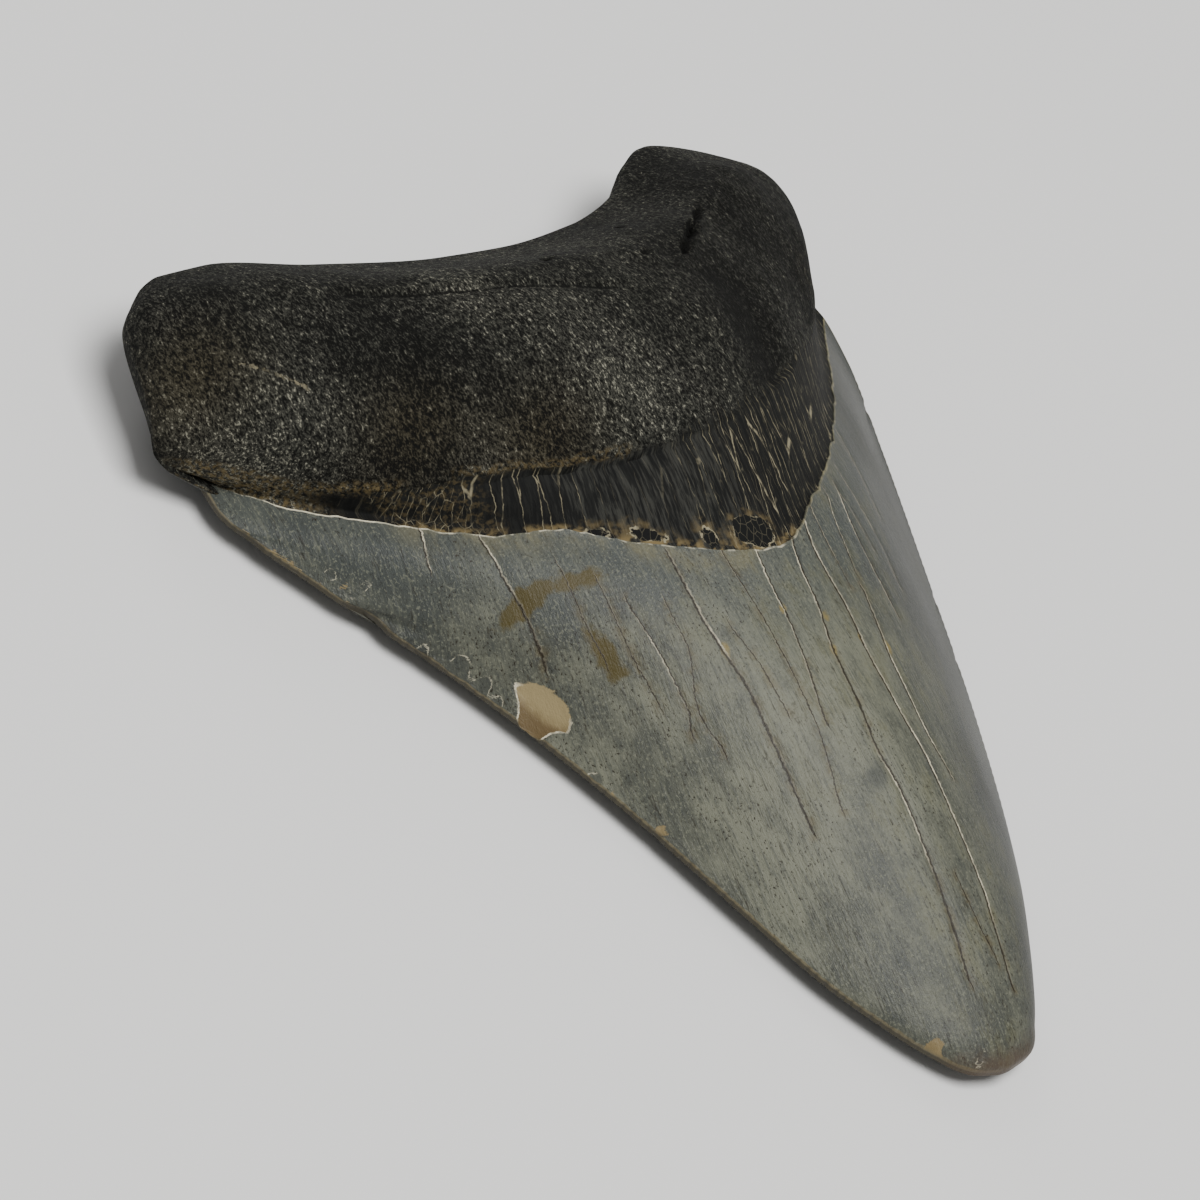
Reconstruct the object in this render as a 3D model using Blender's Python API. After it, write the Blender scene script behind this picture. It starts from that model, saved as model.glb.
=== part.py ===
"""Fossil megalodon tooth, one solid piece, lying on the flat of its outer face.

The tooth lies along Y, with its root towards +Y, its tip towards -Y and its swollen inner face up.
Both faces are moulded from flat grids. A column runs from -1 at the left edge to 1 at the right edge.
A row runs from 0 at the end of the root, through the lower edge of the root and the upper edge of the
enamel, to 1 at the tip. Lengths here are in millimetres, with Y counted from the tip, and are turned into
metres where the mesh is made.
"""

import math

import bmesh
import bpy
import numpy as np
from mathutils import Vector, noise

MM = 0.001

# Driving sizes: how long the tooth is, how far its root swells and how blunt its edge is
TOOTH_LENGTH = 88.0
ROOT_THICKNESS = 19.0
CUTTING_EDGE_THICKNESS = 0.5

# Place of the tip, and the middle of the tooth's width and length, which stands over the origin
TIP_X = 0.5
TIP_Y = 0.8
MIDDLE_X = -0.2
MIDDLE_Y = TIP_Y + TOOTH_LENGTH / 2

# Where the rows lie that the root's lower edge and the enamel's upper edge follow
ROOT_EDGE_ROW = 0.34
ENAMEL_ROW = 0.40
STEP_ROWS = 0.004
LAST_ROW = 0.998

# Sides of the outline seen from above: row, x, y
LEFT_SIDE = (
    (0.00, -32.6, 83.5), (0.05, -34.2, 81.9), (0.12, -35.4, 78.5), (0.22, -36.5, 74.2),
    (0.32, -37.3, 71.2), (0.36, -36.0, 70.1), (0.385, -34.2, 69.7), (0.40, -33.4, 69.1),
    (0.43, -33.5, 66.4), (0.50, -28.9, 57.0), (0.60, -22.1, 45.4), (0.72, -16.5, 32.8),
    (0.84, -12.0, 19.5), (0.90, -9.7, 12.8), (0.94, -7.4, 8.2), (0.97, -4.8, 4.1),
    (0.99, -2.4, 1.7), (1.00, TIP_X, TIP_Y),
)
RIGHT_SIDE = (
    (0.00, 34.3, 85.4), (0.05, 35.6, 83.4), (0.12, 36.4, 80.4), (0.22, 35.5, 76.6),
    (0.32, 34.8, 74.0), (0.36, 36.1, 73.4), (0.385, 36.8, 72.5), (0.40, 37.1, 71.4),
    (0.43, 36.3, 67.0), (0.50, 32.8, 57.0), (0.60, 27.9, 44.5), (0.72, 22.1, 30.5),
    (0.84, 15.7, 17.5), (0.90, 12.1, 11.8), (0.94, 9.1, 7.5), (0.97, 6.2, 3.8),
    (0.99, 3.8, 1.5), (1.00, TIP_X, TIP_Y),
)
# Middle of the rows, along the crest of the inner face: row, x, y
CREST_LINE = (
    (0.00, 2.5, 79.5), (0.20, 2.5, 62.0), (0.36, 2.0, 47.5), (0.40, 2.0, 43.7),
    (0.60, 2.2, 28.5), (0.84, 1.8, 9.5), (1.00, TIP_X, TIP_Y),
)
# End of the root with its two lobes and the notch between them: column, x, y
LOBED_END = (
    (-1.00, -32.6, 83.5), (-0.90, -30.1, 85.3), (-0.75, -25.5, 85.0), (-0.50, -16.0, 82.8),
    (-0.20, -4.0, 80.9), (0.00, 2.5, 80.7), (0.25, 11.0, 81.7), (0.42, 17.5, 83.9),
    (0.55, 21.5, 87.0), (0.70, 25.5, 88.8), (0.85, 30.1, 87.8), (1.00, 34.3, 85.4),
)
LOBED_END_FADES_BY_ROW = 0.36

# Heights above the surface that the tooth lies on: row, z
CREST_HEIGHT = (
    (0.00, 11.0), (0.10, 17.5), (0.20, ROOT_THICKNESS), (0.32, 17.2), (0.40, 14.6),
    (0.60, 12.2), (0.80, 7.8), (0.93, 4.8), (1.00, 3.4),
)
LOBE_HEIGHT = (
    (0.00, 10.5), (0.10, 14.5), (0.20, 15.0), (0.32, 13.5), (0.40, 14.6),
    (0.60, 12.2), (0.80, 7.8), (0.93, 4.8), (1.00, 3.4),
)
SIDE_HEIGHT = ((0.00, 7.0), (0.20, 6.0), (0.32, 4.6), (0.40, 2.4), (0.70, 2.0), (1.00, 2.0))
NOTCH_HEIGHT = 8.5
NOTCH_HEIGHT_FADES_BY_ROW = 0.12
ROUND_END_ROW = 0.10
ROUND_TIP_ROW = 0.95
CREST_HALF_WIDTH = 0.5

# Shape of the section across a row: row, power
SECTION_FULLNESS = ((0.00, 3.4), (0.30, 2.6), (0.40, 1.9), (0.60, 1.8), (1.00, 2.0))
SECTION_SLOPE = ((0.00, 0.5), (0.30, 0.62), (0.40, 1.25), (0.60, 1.15), (0.90, 1.0), (0.97, 0.7), (1.00, 0.5))
# Shape of a row seen from above, left and right of the crest: row, power
LEFT_BEND = ((0.00, 2.0), (0.40, 1.5), (0.70, 1.5), (1.00, 2.0))
RIGHT_BEND = ((0.00, 2.0), (0.40, 1.35), (0.70, 1.5), (1.00, 2.0))
BEND_START = 0.05

# Lower edge of the root on the inner face: column, row
ROOT_EDGE = (
    (-1.00, 0.352), (-0.82, 0.376), (-0.67, 0.359), (-0.49, 0.333), (-0.31, 0.321),
    (-0.08, 0.298), (0.07, 0.290), (0.34, 0.296), (0.64, 0.318), (1.00, 0.375),
)
# Drop from the root to the dark band below it: column, depth
ROOT_STEP = ((-1.0, 0.3), (-0.8, 0.9), (-0.3, 0.8), (0.0, 0.35), (0.4, 0.25), (1.0, 0.1))
ENAMEL_STEP = 0.3

# Flat spot of the outer face, in columns and rows, and how the face rises from it to the sides
FLAT_HALF_WIDTH = 0.35
FLAT_FIRST_ROW = 0.16
FLAT_LAST_ROW = 0.62
OUTER_CROWN_ROWS = (0.22, 0.36)
ROOT_RISE_POWER = 3.0
CROWN_RISE_POWER = 1.7

# Relief of the root: x, y, radius, height, with hollows below zero
ROOT_MOUNDS = (
    (-31.0, 67.0, 5.0, 0.6), (-18.0, 71.5, 3.4, -0.5), (-20.5, 66.0, 3.4, -0.7),
    (-22.0, 60.5, 3.0, -0.5), (13.8, 66.5, 3.2, -0.6), (12.4, 61.0, 3.2, -0.8),
    (12.6, 56.5, 3.0, -0.6), (-8.0, 66.0, 6.0, 0.4), (24.0, 78.0, 5.0, 0.5),
)
# Crease across the root, along its end: x, y
CREASE = ((-20.3, 75.4), (-10.2, 71.8), (1.1, 68.0))
CREASE_DEPTH = 0.4
CREASE_WIDTH = 0.9
# Uneven surface of the root: size of the lumps and their height
LUMPS = ((9.0, 0.45), (4.0, 0.25))
# Where the relief fades out: power across a row, rows from the end, rows round the root's lower edge
RELIEF_SIDE_POWER = 8
RELIEF_END_ROW = 0.06
RELIEF_EDGE_ROWS = (-0.03, 0.01)
BAND_SIDE_COLUMNS = 0.04

# Hollows that are cut out: place, half sizes, turn about Z in degrees
EDGE_CHIP = ((-18.9, 41.0, 4.6), (3.2, 2.2, 1.1), 119.0)
EDGE_BITE = ((-27.0, 52.6, 2.2), (1.5, 1.2, 3.0), 119.0)
SMALL_BITE = ((-33.4, 62.9, 2.2), (1.4, 0.9, 3.0), 113.0)
PORE = ((14.6, 73.4, 16.6), (4.2, 0.8, 2.2), 39.0)
CUTTER_SEGMENTS = 20
CUTTER_RINGS = 12

# Grid of each face: columns, and bands of rows with their start, end and count
COLUMNS = 40
ROW_BANDS = (
    (0.0, ROUND_END_ROW, 8),
    (ROUND_END_ROW, ROOT_EDGE_ROW - STEP_ROWS, 13),
    (ROOT_EDGE_ROW - STEP_ROWS, ROOT_EDGE_ROW + STEP_ROWS, 1),
    (ROOT_EDGE_ROW + STEP_ROWS, ENAMEL_ROW - STEP_ROWS, 4),
    (ENAMEL_ROW - STEP_ROWS, ENAMEL_ROW + STEP_ROWS, 1),
    (ENAMEL_ROW + STEP_ROWS, 0.94, 19),
    (0.94, LAST_ROW, 5),
)

# Finish: grey enamel and near-black root read as one dark grey stone
STONE_COLOUR = (0.11, 0.11, 0.095, 1.0)
STONE_ROUGHNESS = 0.55


def clear_scene():
    """Remove every object that the file starts with."""
    for item in list(bpy.data.objects):
        bpy.data.objects.remove(item, do_unlink=True)


def curve_through(stops, place):
    """Values on a smooth curve through the stops that never swings past them."""
    table = np.array(stops, float)
    at, values = table[:, 0], table[:, 1:]
    gaps = np.diff(at)
    slopes = np.diff(values, axis=0) / gaps[:, None]
    tangents = np.zeros_like(values)
    tangents[0], tangents[-1] = slopes[0], slopes[-1]
    for i in range(1, len(at) - 1):
        before, after = slopes[i - 1], slopes[i]
        rising = before * after > 0
        near, far = 2 * gaps[i] + gaps[i - 1], gaps[i] + 2 * gaps[i - 1]
        safe_before = np.where(rising, before, 1)
        safe_after = np.where(rising, after, 1)
        tangents[i] = np.where(rising, (near + far) / (near / safe_before + far / safe_after), 0)
    place = np.clip(place, at[0], at[-1])
    span = np.clip(np.searchsorted(at, place, side="right") - 1, 0, len(at) - 2)
    gap = gaps[span][..., None]
    t = (place - at[span])[..., None] / gap
    result = (
        (1 + 2 * t) * (1 - t) ** 2 * values[span]
        + t * (1 - t) ** 2 * gap * tangents[span]
        + t ** 2 * (3 - 2 * t) * values[span + 1]
        + t ** 2 * (t - 1) * gap * tangents[span + 1]
    )
    return result[..., 0] if values.shape[1] == 1 else result


def ease(start, end, place):
    """Smooth step from 0 at the start to 1 at the end."""
    t = np.clip((place - start) / (end - start), 0, 1)
    return t * t * (3 - 2 * t)


def quarter_round(place):
    """Quarter circle from 0 at the start to 1 at the end and beyond."""
    return np.sqrt(1 - (1 - np.clip(place, 0, 1)) ** 2)


def true_row(column, grid_row):
    """Row of the form where a grid row lies, so that grid rows follow the root's lower edge."""
    edge = curve_through(ROOT_EDGE, column)
    above = grid_row / ROOT_EDGE_ROW * edge
    between = edge + (grid_row - ROOT_EDGE_ROW) / (ENAMEL_ROW - ROOT_EDGE_ROW) * (ENAMEL_ROW - edge)
    inner = np.where(grid_row < ROOT_EDGE_ROW, above, between)
    return np.where(grid_row < ENAMEL_ROW, inner, grid_row)


def bowed_row(column, row):
    """Place seen from above on a row that runs from side to side through the crest."""
    left, right = curve_through(LEFT_SIDE, row), curve_through(RIGHT_SIDE, row)
    crest = curve_through(CREST_LINE, row)
    power = np.where(column < 0, curve_through(LEFT_BEND, row), curve_through(RIGHT_BEND, row))
    reach = np.hypot(column, BEND_START) ** power - BEND_START ** power
    reach /= np.hypot(1, BEND_START) ** power - BEND_START ** power
    along = column[..., None] * (right - left) / 2
    return crest + along + reach[..., None] * ((right + left) / 2 - crest)


def seen_from_above(column, row):
    """Place seen from above, with the lobed end blended in towards the first row."""
    change = curve_through(LOBED_END, column) - bowed_row(column, np.zeros_like(column))
    fade = np.clip(1 - row / LOBED_END_FADES_BY_ROW, 0, 1) ** 2
    return bowed_row(column, row) + change * fade[..., None]


def side_height(column, row):
    """Height of the line where the two faces meet."""
    height = curve_through(SIDE_HEIGHT, row)
    notch = np.clip(1 - row / NOTCH_HEIGHT_FADES_BY_ROW, 0, 1) ** 2
    return height + (NOTCH_HEIGHT - height) * notch * (1 - column ** 2)


def mound(place, x, y, radius):
    """Bell-shaped weight round a point."""
    return np.exp(-((place[..., 0] - x) ** 2 + (place[..., 1] - y) ** 2) / radius ** 2)


def distance_to_line(place, points):
    """Distance from a run of straight stretches."""
    nearest = np.full(place.shape[:-1], np.inf)
    for start, end in zip(points[:-1], points[1:]):
        start, run = np.array(start), np.subtract(end, start)
        t = np.clip(((place - start) @ run) / (run @ run), 0, 1)
        nearest = np.minimum(nearest, np.linalg.norm(place - start - t[..., None] * run, axis=-1))
    return nearest


def lumps(place, height):
    """Uneven surface made of noise of a few sizes."""
    total = np.zeros(place.shape[:-1])
    for index in np.ndindex(total.shape):
        x, y = place[index]
        for size, amount in LUMPS:
            total[index] += amount * noise.noise(Vector((x / size, y / size, height[index] / size)))
    return total


def root_relief(place, column, row, height):
    """Mounds, hollows, crease and lumps of the root's inner face."""
    relief = lumps(place, height)
    for x, y, radius, amount in ROOT_MOUNDS:
        relief += amount * mound(place, x, y, radius)
    relief -= CREASE_DEPTH * np.exp(-(distance_to_line(place, CREASE) / CREASE_WIDTH) ** 2)
    below_edge = ease(*RELIEF_EDGE_ROWS, row - curve_through(ROOT_EDGE, column))
    side = 1 - np.abs(column) ** RELIEF_SIDE_POWER
    end = ease(0.0, RELIEF_END_ROW, row)
    return relief * (1 - below_edge) * side * end


def dark_band_drop(column, row):
    """How far the band between the root and the enamel lies below both."""
    edge = curve_through(ROOT_EDGE, column)
    t = np.clip((row - edge) / (ENAMEL_ROW - edge), 0, 1)
    depth = curve_through(ROOT_STEP, column) * (1 - t) + ENAMEL_STEP * t
    inside = (row > edge) & (row < ENAMEL_ROW)
    return np.where(inside, depth, 0.0) * np.clip((1 - np.abs(column)) / BAND_SIDE_COLUMNS, 0, 1)


def inner_face(column, row):
    """Swollen inner face, which lies upwards."""
    place = seen_from_above(column, row)
    low = side_height(column, row) + CUTTING_EDGE_THICKNESS / 2
    crest, lobe = curve_through(CREST_HEIGHT, row), curve_through(LOBE_HEIGHT, row)
    high = lobe + (crest - lobe) * np.exp(-(column / CREST_HALF_WIDTH) ** 2)
    fullness, slope = curve_through(SECTION_FULLNESS, row), curve_through(SECTION_SLOPE, row)
    across = np.clip(1 - np.abs(column) ** fullness, 0, 1) ** slope
    round_end = quarter_round(row / ROUND_END_ROW) * quarter_round((1 - row) / (1 - ROUND_TIP_ROW))
    height = low + (high - low) * across * round_end
    height += root_relief(place, column, row, height)
    height -= dark_band_drop(column, row)
    return np.dstack((place, np.maximum(height, low)))


def outer_face(column, row):
    """Nearly flat outer face, which the tooth lies on."""
    place = seen_from_above(column, row)
    side = side_height(column, row) - CUTTING_EDGE_THICKNESS / 2
    past_flat = np.clip((np.abs(column) - FLAT_HALF_WIDTH) / (1 - FLAT_HALF_WIDTH), 0, 1)
    crown = ease(*OUTER_CROWN_ROWS, row)
    on_root = 1 - np.sqrt(1 - past_flat ** ROOT_RISE_POWER)
    rise_across = on_root * (1 - crown) + past_flat ** CROWN_RISE_POWER * crown
    to_tip = np.clip((row - FLAT_LAST_ROW) / (LAST_ROW - FLAT_LAST_ROW), 0, 1) ** 2
    to_end = 1 - quarter_round(row / FLAT_FIRST_ROW)
    rise = 1 - (1 - rise_across) * (1 - to_tip) * (1 - to_end)
    return np.dstack((place, side * rise))


def grid_rows():
    """Grid rows from the end of the root to the tip."""
    rows = [ROW_BANDS[0][0]]
    for start, end, count in ROW_BANDS:
        rows += [start + (end - start) * (i + 1) / count for i in range(count)]
    return np.array(rows)


def mould_grid(mesh, face):
    """Add a flat grid to the mesh and mould it into one face of the tooth."""
    rows = grid_rows()
    columns = np.sin(np.linspace(-math.pi / 2, math.pi / 2, COLUMNS + 1))
    column, grid_row = np.meshgrid(columns, rows)
    row = true_row(column, grid_row) if face is inner_face else grid_row
    points = face(column, row) * MM
    made = bmesh.ops.create_grid(mesh, x_segments=COLUMNS, y_segments=len(rows) - 1, size=1)
    for vert in made["verts"]:
        i = round((vert.co.x + 1) / 2 * COLUMNS)
        j = round((vert.co.y + 1) / 2 * (len(rows) - 1))
        vert.co = points[j, i]


def stone_material():
    """Dark grey fossil stone."""
    material = bpy.data.materials.new("fossil_stone")
    material.use_nodes = True
    shader = material.node_tree.nodes["Principled BSDF"]
    shader.inputs["Base Color"].default_value = STONE_COLOUR
    shader.inputs["Roughness"].default_value = STONE_ROUGHNESS
    shader.inputs["Metallic"].default_value = 0.0
    return material


def add_tooth():
    """Closed tooth: both faces, joined along their outline by the blunt cutting edge."""
    mesh = bmesh.new()
    mould_grid(mesh, inner_face)
    mould_grid(mesh, outer_face)
    outline = [edge for edge in mesh.edges if edge.is_boundary]
    bmesh.ops.bridge_loops(mesh, edges=outline)
    bmesh.ops.recalc_face_normals(mesh, faces=mesh.faces)
    data = bpy.data.meshes.new("tooth")
    mesh.to_mesh(data)
    mesh.free()
    data.shade_smooth()
    data.materials.append(stone_material())
    tooth = bpy.data.objects.new("tooth", data)
    tooth.location = (-MIDDLE_X * MM, -MIDDLE_Y * MM, 0.0)
    bpy.context.collection.objects.link(tooth)
    return tooth


def add_hollow(tooth, name, hollow):
    """Cut a rounded hollow out of the tooth."""
    (x, y, z), half_sizes, turn = hollow
    mesh = bmesh.new()
    bmesh.ops.create_uvsphere(mesh, u_segments=CUTTER_SEGMENTS, v_segments=CUTTER_RINGS, radius=MM)
    bmesh.ops.scale(mesh, vec=half_sizes, verts=mesh.verts)
    data = bpy.data.meshes.new(name)
    mesh.to_mesh(data)
    mesh.free()
    cutter = bpy.data.objects.new(name, data)
    cutter.location = ((x - MIDDLE_X) * MM, (y - MIDDLE_Y) * MM, z * MM)
    cutter.rotation_euler.z = math.radians(turn)
    cutter.hide_render = True
    cutter.display_type = "WIRE"
    bpy.context.collection.objects.link(cutter)
    cut = tooth.modifiers.new(name, "BOOLEAN")
    cut.operation = "DIFFERENCE"
    cut.solver = "EXACT"
    cut.object = cutter


def main():
    clear_scene()
    tooth = add_tooth()
    add_hollow(tooth, "edge_chip", EDGE_CHIP)
    add_hollow(tooth, "edge_bite", EDGE_BITE)
    add_hollow(tooth, "small_bite", SMALL_BITE)
    add_hollow(tooth, "pore", PORE)


main()
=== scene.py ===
import math

import bmesh
import bpy
import numpy as np
from mathutils import Matrix, Vector, noise


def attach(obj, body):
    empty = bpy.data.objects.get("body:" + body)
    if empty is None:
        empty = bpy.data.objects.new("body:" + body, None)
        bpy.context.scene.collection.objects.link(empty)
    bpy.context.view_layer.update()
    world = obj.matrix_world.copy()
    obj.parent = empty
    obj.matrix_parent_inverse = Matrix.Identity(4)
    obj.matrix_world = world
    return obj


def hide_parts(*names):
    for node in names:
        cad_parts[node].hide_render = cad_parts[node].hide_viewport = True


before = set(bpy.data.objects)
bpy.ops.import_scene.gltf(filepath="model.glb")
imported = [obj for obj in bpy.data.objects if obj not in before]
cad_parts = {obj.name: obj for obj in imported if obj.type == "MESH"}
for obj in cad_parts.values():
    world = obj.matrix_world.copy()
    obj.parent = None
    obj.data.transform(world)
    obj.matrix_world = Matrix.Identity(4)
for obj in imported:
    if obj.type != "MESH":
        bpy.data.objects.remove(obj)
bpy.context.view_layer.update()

MM = 0.001

# Driving sizes: how long the tooth is, how far its root swells and how blunt its edge is
TOOTH_LENGTH = 88.0
ROOT_THICKNESS = 19.0
CUTTING_EDGE_THICKNESS = 0.5

# Place of the tip, and the middle of the tooth's width and length, which stands over the origin
TIP_X = 0.5
TIP_Y = 0.8
MIDDLE_X = -0.2
MIDDLE_Y = TIP_Y + TOOTH_LENGTH / 2

# Where the grid's rows lie that the root's lower edge and the enamel's upper edge follow
ROOT_EDGE_ROW = 0.34
ENAMEL_ROW = 0.40
STEP_ROWS = 0.0015
LAST_ROW = 0.998

# Sides of the outline seen from above: row, x, y
LEFT_SIDE = (
    (0.00, -32.6, 83.5), (0.05, -34.2, 81.9), (0.12, -35.4, 78.5), (0.22, -36.5, 74.2),
    (0.32, -37.3, 71.2), (0.36, -36.0, 70.1), (0.385, -34.2, 69.7), (0.40, -33.4, 69.1),
    (0.43, -33.5, 66.4), (0.50, -28.9, 57.0), (0.60, -22.1, 45.4), (0.72, -16.5, 32.8),
    (0.84, -12.0, 19.5), (0.90, -9.7, 12.8), (0.94, -7.4, 8.2), (0.97, -4.8, 4.1),
    (0.99, -2.4, 1.7), (1.00, TIP_X, TIP_Y),
)
RIGHT_SIDE = (
    (0.00, 34.3, 85.4), (0.05, 35.6, 83.4), (0.12, 36.4, 80.4), (0.22, 35.5, 76.6),
    (0.32, 34.8, 74.0), (0.36, 36.1, 73.4), (0.385, 36.8, 72.5), (0.40, 37.1, 71.4),
    (0.43, 36.3, 67.0), (0.50, 32.8, 57.0), (0.60, 27.9, 44.5), (0.72, 22.1, 30.5),
    (0.84, 15.7, 17.5), (0.90, 12.1, 11.8), (0.94, 9.1, 7.5), (0.97, 6.2, 3.8),
    (0.99, 3.8, 1.5), (1.00, TIP_X, TIP_Y),
)
# Middle of the rows, along the crest of the inner face: row, x, y
CREST_LINE = (
    (0.00, 2.5, 79.5), (0.20, 2.5, 62.0), (0.36, 2.0, 47.5), (0.40, 2.0, 43.7),
    (0.60, 2.2, 28.5), (0.84, 1.8, 9.5), (1.00, TIP_X, TIP_Y),
)
# End of the root with its two lobes and the notch between them: column, x, y
LOBED_END = (
    (-1.00, -32.6, 83.5), (-0.94, -31.4, 84.4), (-0.88, -29.6, 85.0), (-0.75, -25.5, 85.0),
    (-0.50, -16.0, 82.8), (-0.20, -4.0, 80.9), (0.00, 2.5, 80.7), (0.25, 11.0, 81.7),
    (0.42, 17.5, 83.9), (0.55, 21.5, 87.0), (0.70, 25.5, 88.8), (0.85, 30.1, 87.8),
    (1.00, 34.3, 85.4),
)
LOBED_END_FADES_BY_ROW = 0.36

# Heights above the surface that the tooth lies on: row, z
CROWN_HEIGHT = ((0.40, 14.6), (0.60, 12.2), (0.80, 7.8), (0.93, 4.8), (1.00, 3.4))
CREST_HEIGHT = ((0.00, 11.0), (0.10, 17.5), (0.20, ROOT_THICKNESS), (0.32, 17.2), *CROWN_HEIGHT)
LOBE_HEIGHT = ((0.00, 10.5), (0.10, 14.5), (0.20, 15.0), (0.32, 13.5), *CROWN_HEIGHT)
SIDE_HEIGHT = ((0.00, 7.0), (0.20, 6.0), (0.32, 4.6), (0.40, 2.4), (0.70, 2.0), (1.00, 2.0))
NOTCH_HEIGHT = 8.5
NOTCH_HEIGHT_FADES_BY_ROW = 0.12
ROUND_END_ROW = 0.10
ROUND_TIP_ROW = 0.95
CREST_HALF_WIDTH = 0.5

# Shape of the section across a row: row, power
SECTION_FULLNESS = ((0.00, 3.4), (0.30, 2.6), (0.40, 1.9), (0.60, 1.8), (1.00, 2.0))
SECTION_SLOPE = ((0.00, 0.5), (0.30, 0.62), (0.40, 1.25), (0.60, 1.15), (0.90, 1.0), (0.97, 0.7), (1.00, 0.5))
# Shape of a row seen from above, left and right of the crest: row, power
LEFT_BEND = ((0.00, 2.0), (0.40, 1.5), (0.70, 1.5), (1.00, 2.0))
RIGHT_BEND = ((0.00, 2.0), (0.40, 1.35), (0.70, 1.5), (1.00, 2.0))
BEND_START = 0.05

# Lower edge of the root and upper edge of the enamel on the inner face: column, row
ROOT_EDGE = (
    (-1.00, 0.352), (-0.82, 0.376), (-0.67, 0.359), (-0.49, 0.333), (-0.31, 0.321),
    (-0.08, 0.298), (0.07, 0.290), (0.34, 0.296), (0.64, 0.318), (1.00, 0.375),
)
ENAMEL_EDGE = (
    (-1.00, 0.400), (-0.86, 0.412), (-0.60, 0.412), (-0.44, 0.393), (-0.30, 0.401),
    (0.00, 0.404), (0.20, 0.394), (0.60, 0.398), (1.00, 0.400),
)
# Raggedness of both edges: size of a tooth in columns, and its height in rows; and where their noises start
EDGE_RAGS = ((0.045, 0.0035), (0.017, 0.0018))
ROOT_EDGE_START = 0.0
ENAMEL_EDGE_START = 9.0
# Drop from the root to the dark band below it: column, depth
ROOT_STEP = (
    (-1.0, 0.15), (-0.86, 0.25), (-0.76, 0.6), (-0.66, 0.8), (-0.3, 0.7), (0.0, 0.35), (0.4, 0.25),
    (1.0, 0.1),
)
ENAMEL_STEP = ((-1.0, 0.3), (0.1, 0.3), (0.45, 0.12), (1.0, 0.08))
# Columns over which the root's lower edge turns from a sharp step to a soft one
SOFT_EDGE_COLUMNS = (-0.2, 0.05)
# Share of the band's breadth that the soft step takes
SOFT_STEP_SHARE = 0.5
BAND_SIDE_COLUMNS = 0.04

# Flat spot of the outer face, in columns and rows, and how the face rises from it to the sides
FLAT_HALF_WIDTH = 0.35
FLAT_FIRST_ROW = 0.16
FLAT_LAST_ROW = 0.62
OUTER_CROWN_ROWS = (0.22, 0.36)
ROOT_RISE_POWER = 3.0
CROWN_RISE_POWER = 1.7
# Where the enamel starts on the outer face, at its sides and lower at its middle
OUTER_ENAMEL_ROW = 0.36
OUTER_ENAMEL_DIP = 0.03

# Relief of the root: x, y, radius, height, with hollows below zero
ROOT_MOUNDS = (
    (-31.0, 67.0, 5.0, 0.6), (-18.0, 71.5, 3.4, -0.5), (-20.5, 66.0, 3.4, -0.7),
    (-22.0, 60.5, 3.0, -0.5), (13.8, 66.5, 3.2, -0.6), (12.4, 61.0, 3.2, -0.8),
    (12.6, 56.5, 3.0, -0.6), (-8.0, 66.0, 6.0, 0.4), (24.0, 78.0, 5.0, 0.5),
)
# Crease across the root, along its end: x, y
CREASE = ((-20.3, 75.4), (-10.2, 71.8), (1.1, 68.0))
CREASE_DEPTH = 0.35
CREASE_WIDTH = 0.5
# Pale mineral line across the root: x, y
PALE_LINE = ((-31.2, 72.7), (-29.5, 70.7), (-27.7, 68.5))
# Uneven surface of the root: size of the lumps and their height, coarse and fine
LUMPS = ((9.0, 0.45), (4.0, 0.25), (1.7, 0.10), (0.8, 0.05))
LUMP_STRETCH = 0.6
# Where the relief fades out: power across a row, rows from the end, rows round the root's lower edge
RELIEF_SIDE_POWER = 8
RELIEF_END_ROW = 0.06
RELIEF_EDGE_ROWS = (-0.012, 0.004)
# Uneven outlines of hollows and stains: size of the raggedness and how far apart their noise is taken
OVAL_RAG_SIZE = 0.9
OVAL_RAGGEDNESS = 0.3
OVAL_STARTS_APART = 7.3
# Openings of vessels in the root: x, y, half length, half width, turn in degrees, depth
PORES = (
    (16.9, 75.3, 1.9, 0.35, 38.0, 0.9), (13.9, 73.1, 1.7, 0.50, 36.0, 1.5),
    (11.4, 71.2, 1.6, 0.40, 44.0, 1.0), (-1.8, 73.2, 0.7, 0.3, 20.0, 0.5),
    (9.9, 76.6, 0.6, 0.3, 60.0, 0.5), (6.8, 71.2, 0.5, 0.3, 40.0, 0.4),
)
# Where the noise of their outlines starts, and the rim round them: height, place outside it, width
PORES_START = 50.0
PORE_RIM = (0.15, 0.3, 0.35)

# How the depth of a hollow grows inwards from its outline
HOLLOW_POWER = 0.6
# Fan-shaped chip of the crown: its outline from above, how deep it is and how its depth grows inwards
CHIP_OUTLINE = (
    (-19.8, 43.7), (-18.8, 43.0), (-18.4, 42.5), (-18.0, 41.9), (-17.7, 41.2), (-17.45, 40.4),
    (-17.35, 39.7), (-17.4, 39.1), (-17.8, 38.6), (-18.2, 39.1), (-18.7, 39.4), (-19.2, 39.4),
    (-19.9, 38.9), (-21.0, 41.2), (-20.2, 41.5), (-19.9, 42.2),
)
CHIP_DEPTH = 0.6
CHIP_ROUNDING = 0.9
CHIP_POWER = 0.5
# Smaller hollows of the crown: x, y, half length, half width, turn in degrees, depth
SMALL_CHIPS = ((-14.8, 28.8, 0.5, 0.32, 115.0, 0.15), (-27.8, 56.4, 0.32, 0.2, 20.0, 0.1))
# Crescent by the tip: an oval with another cut out of it, and where the noise of its outline starts
CRESCENT = ((-4.7, 4.2, 0.95, 0.62, 128.0), (-3.95, 3.6, 0.60, 0.45, 128.0))
CRESCENT_START = 3.0
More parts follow.
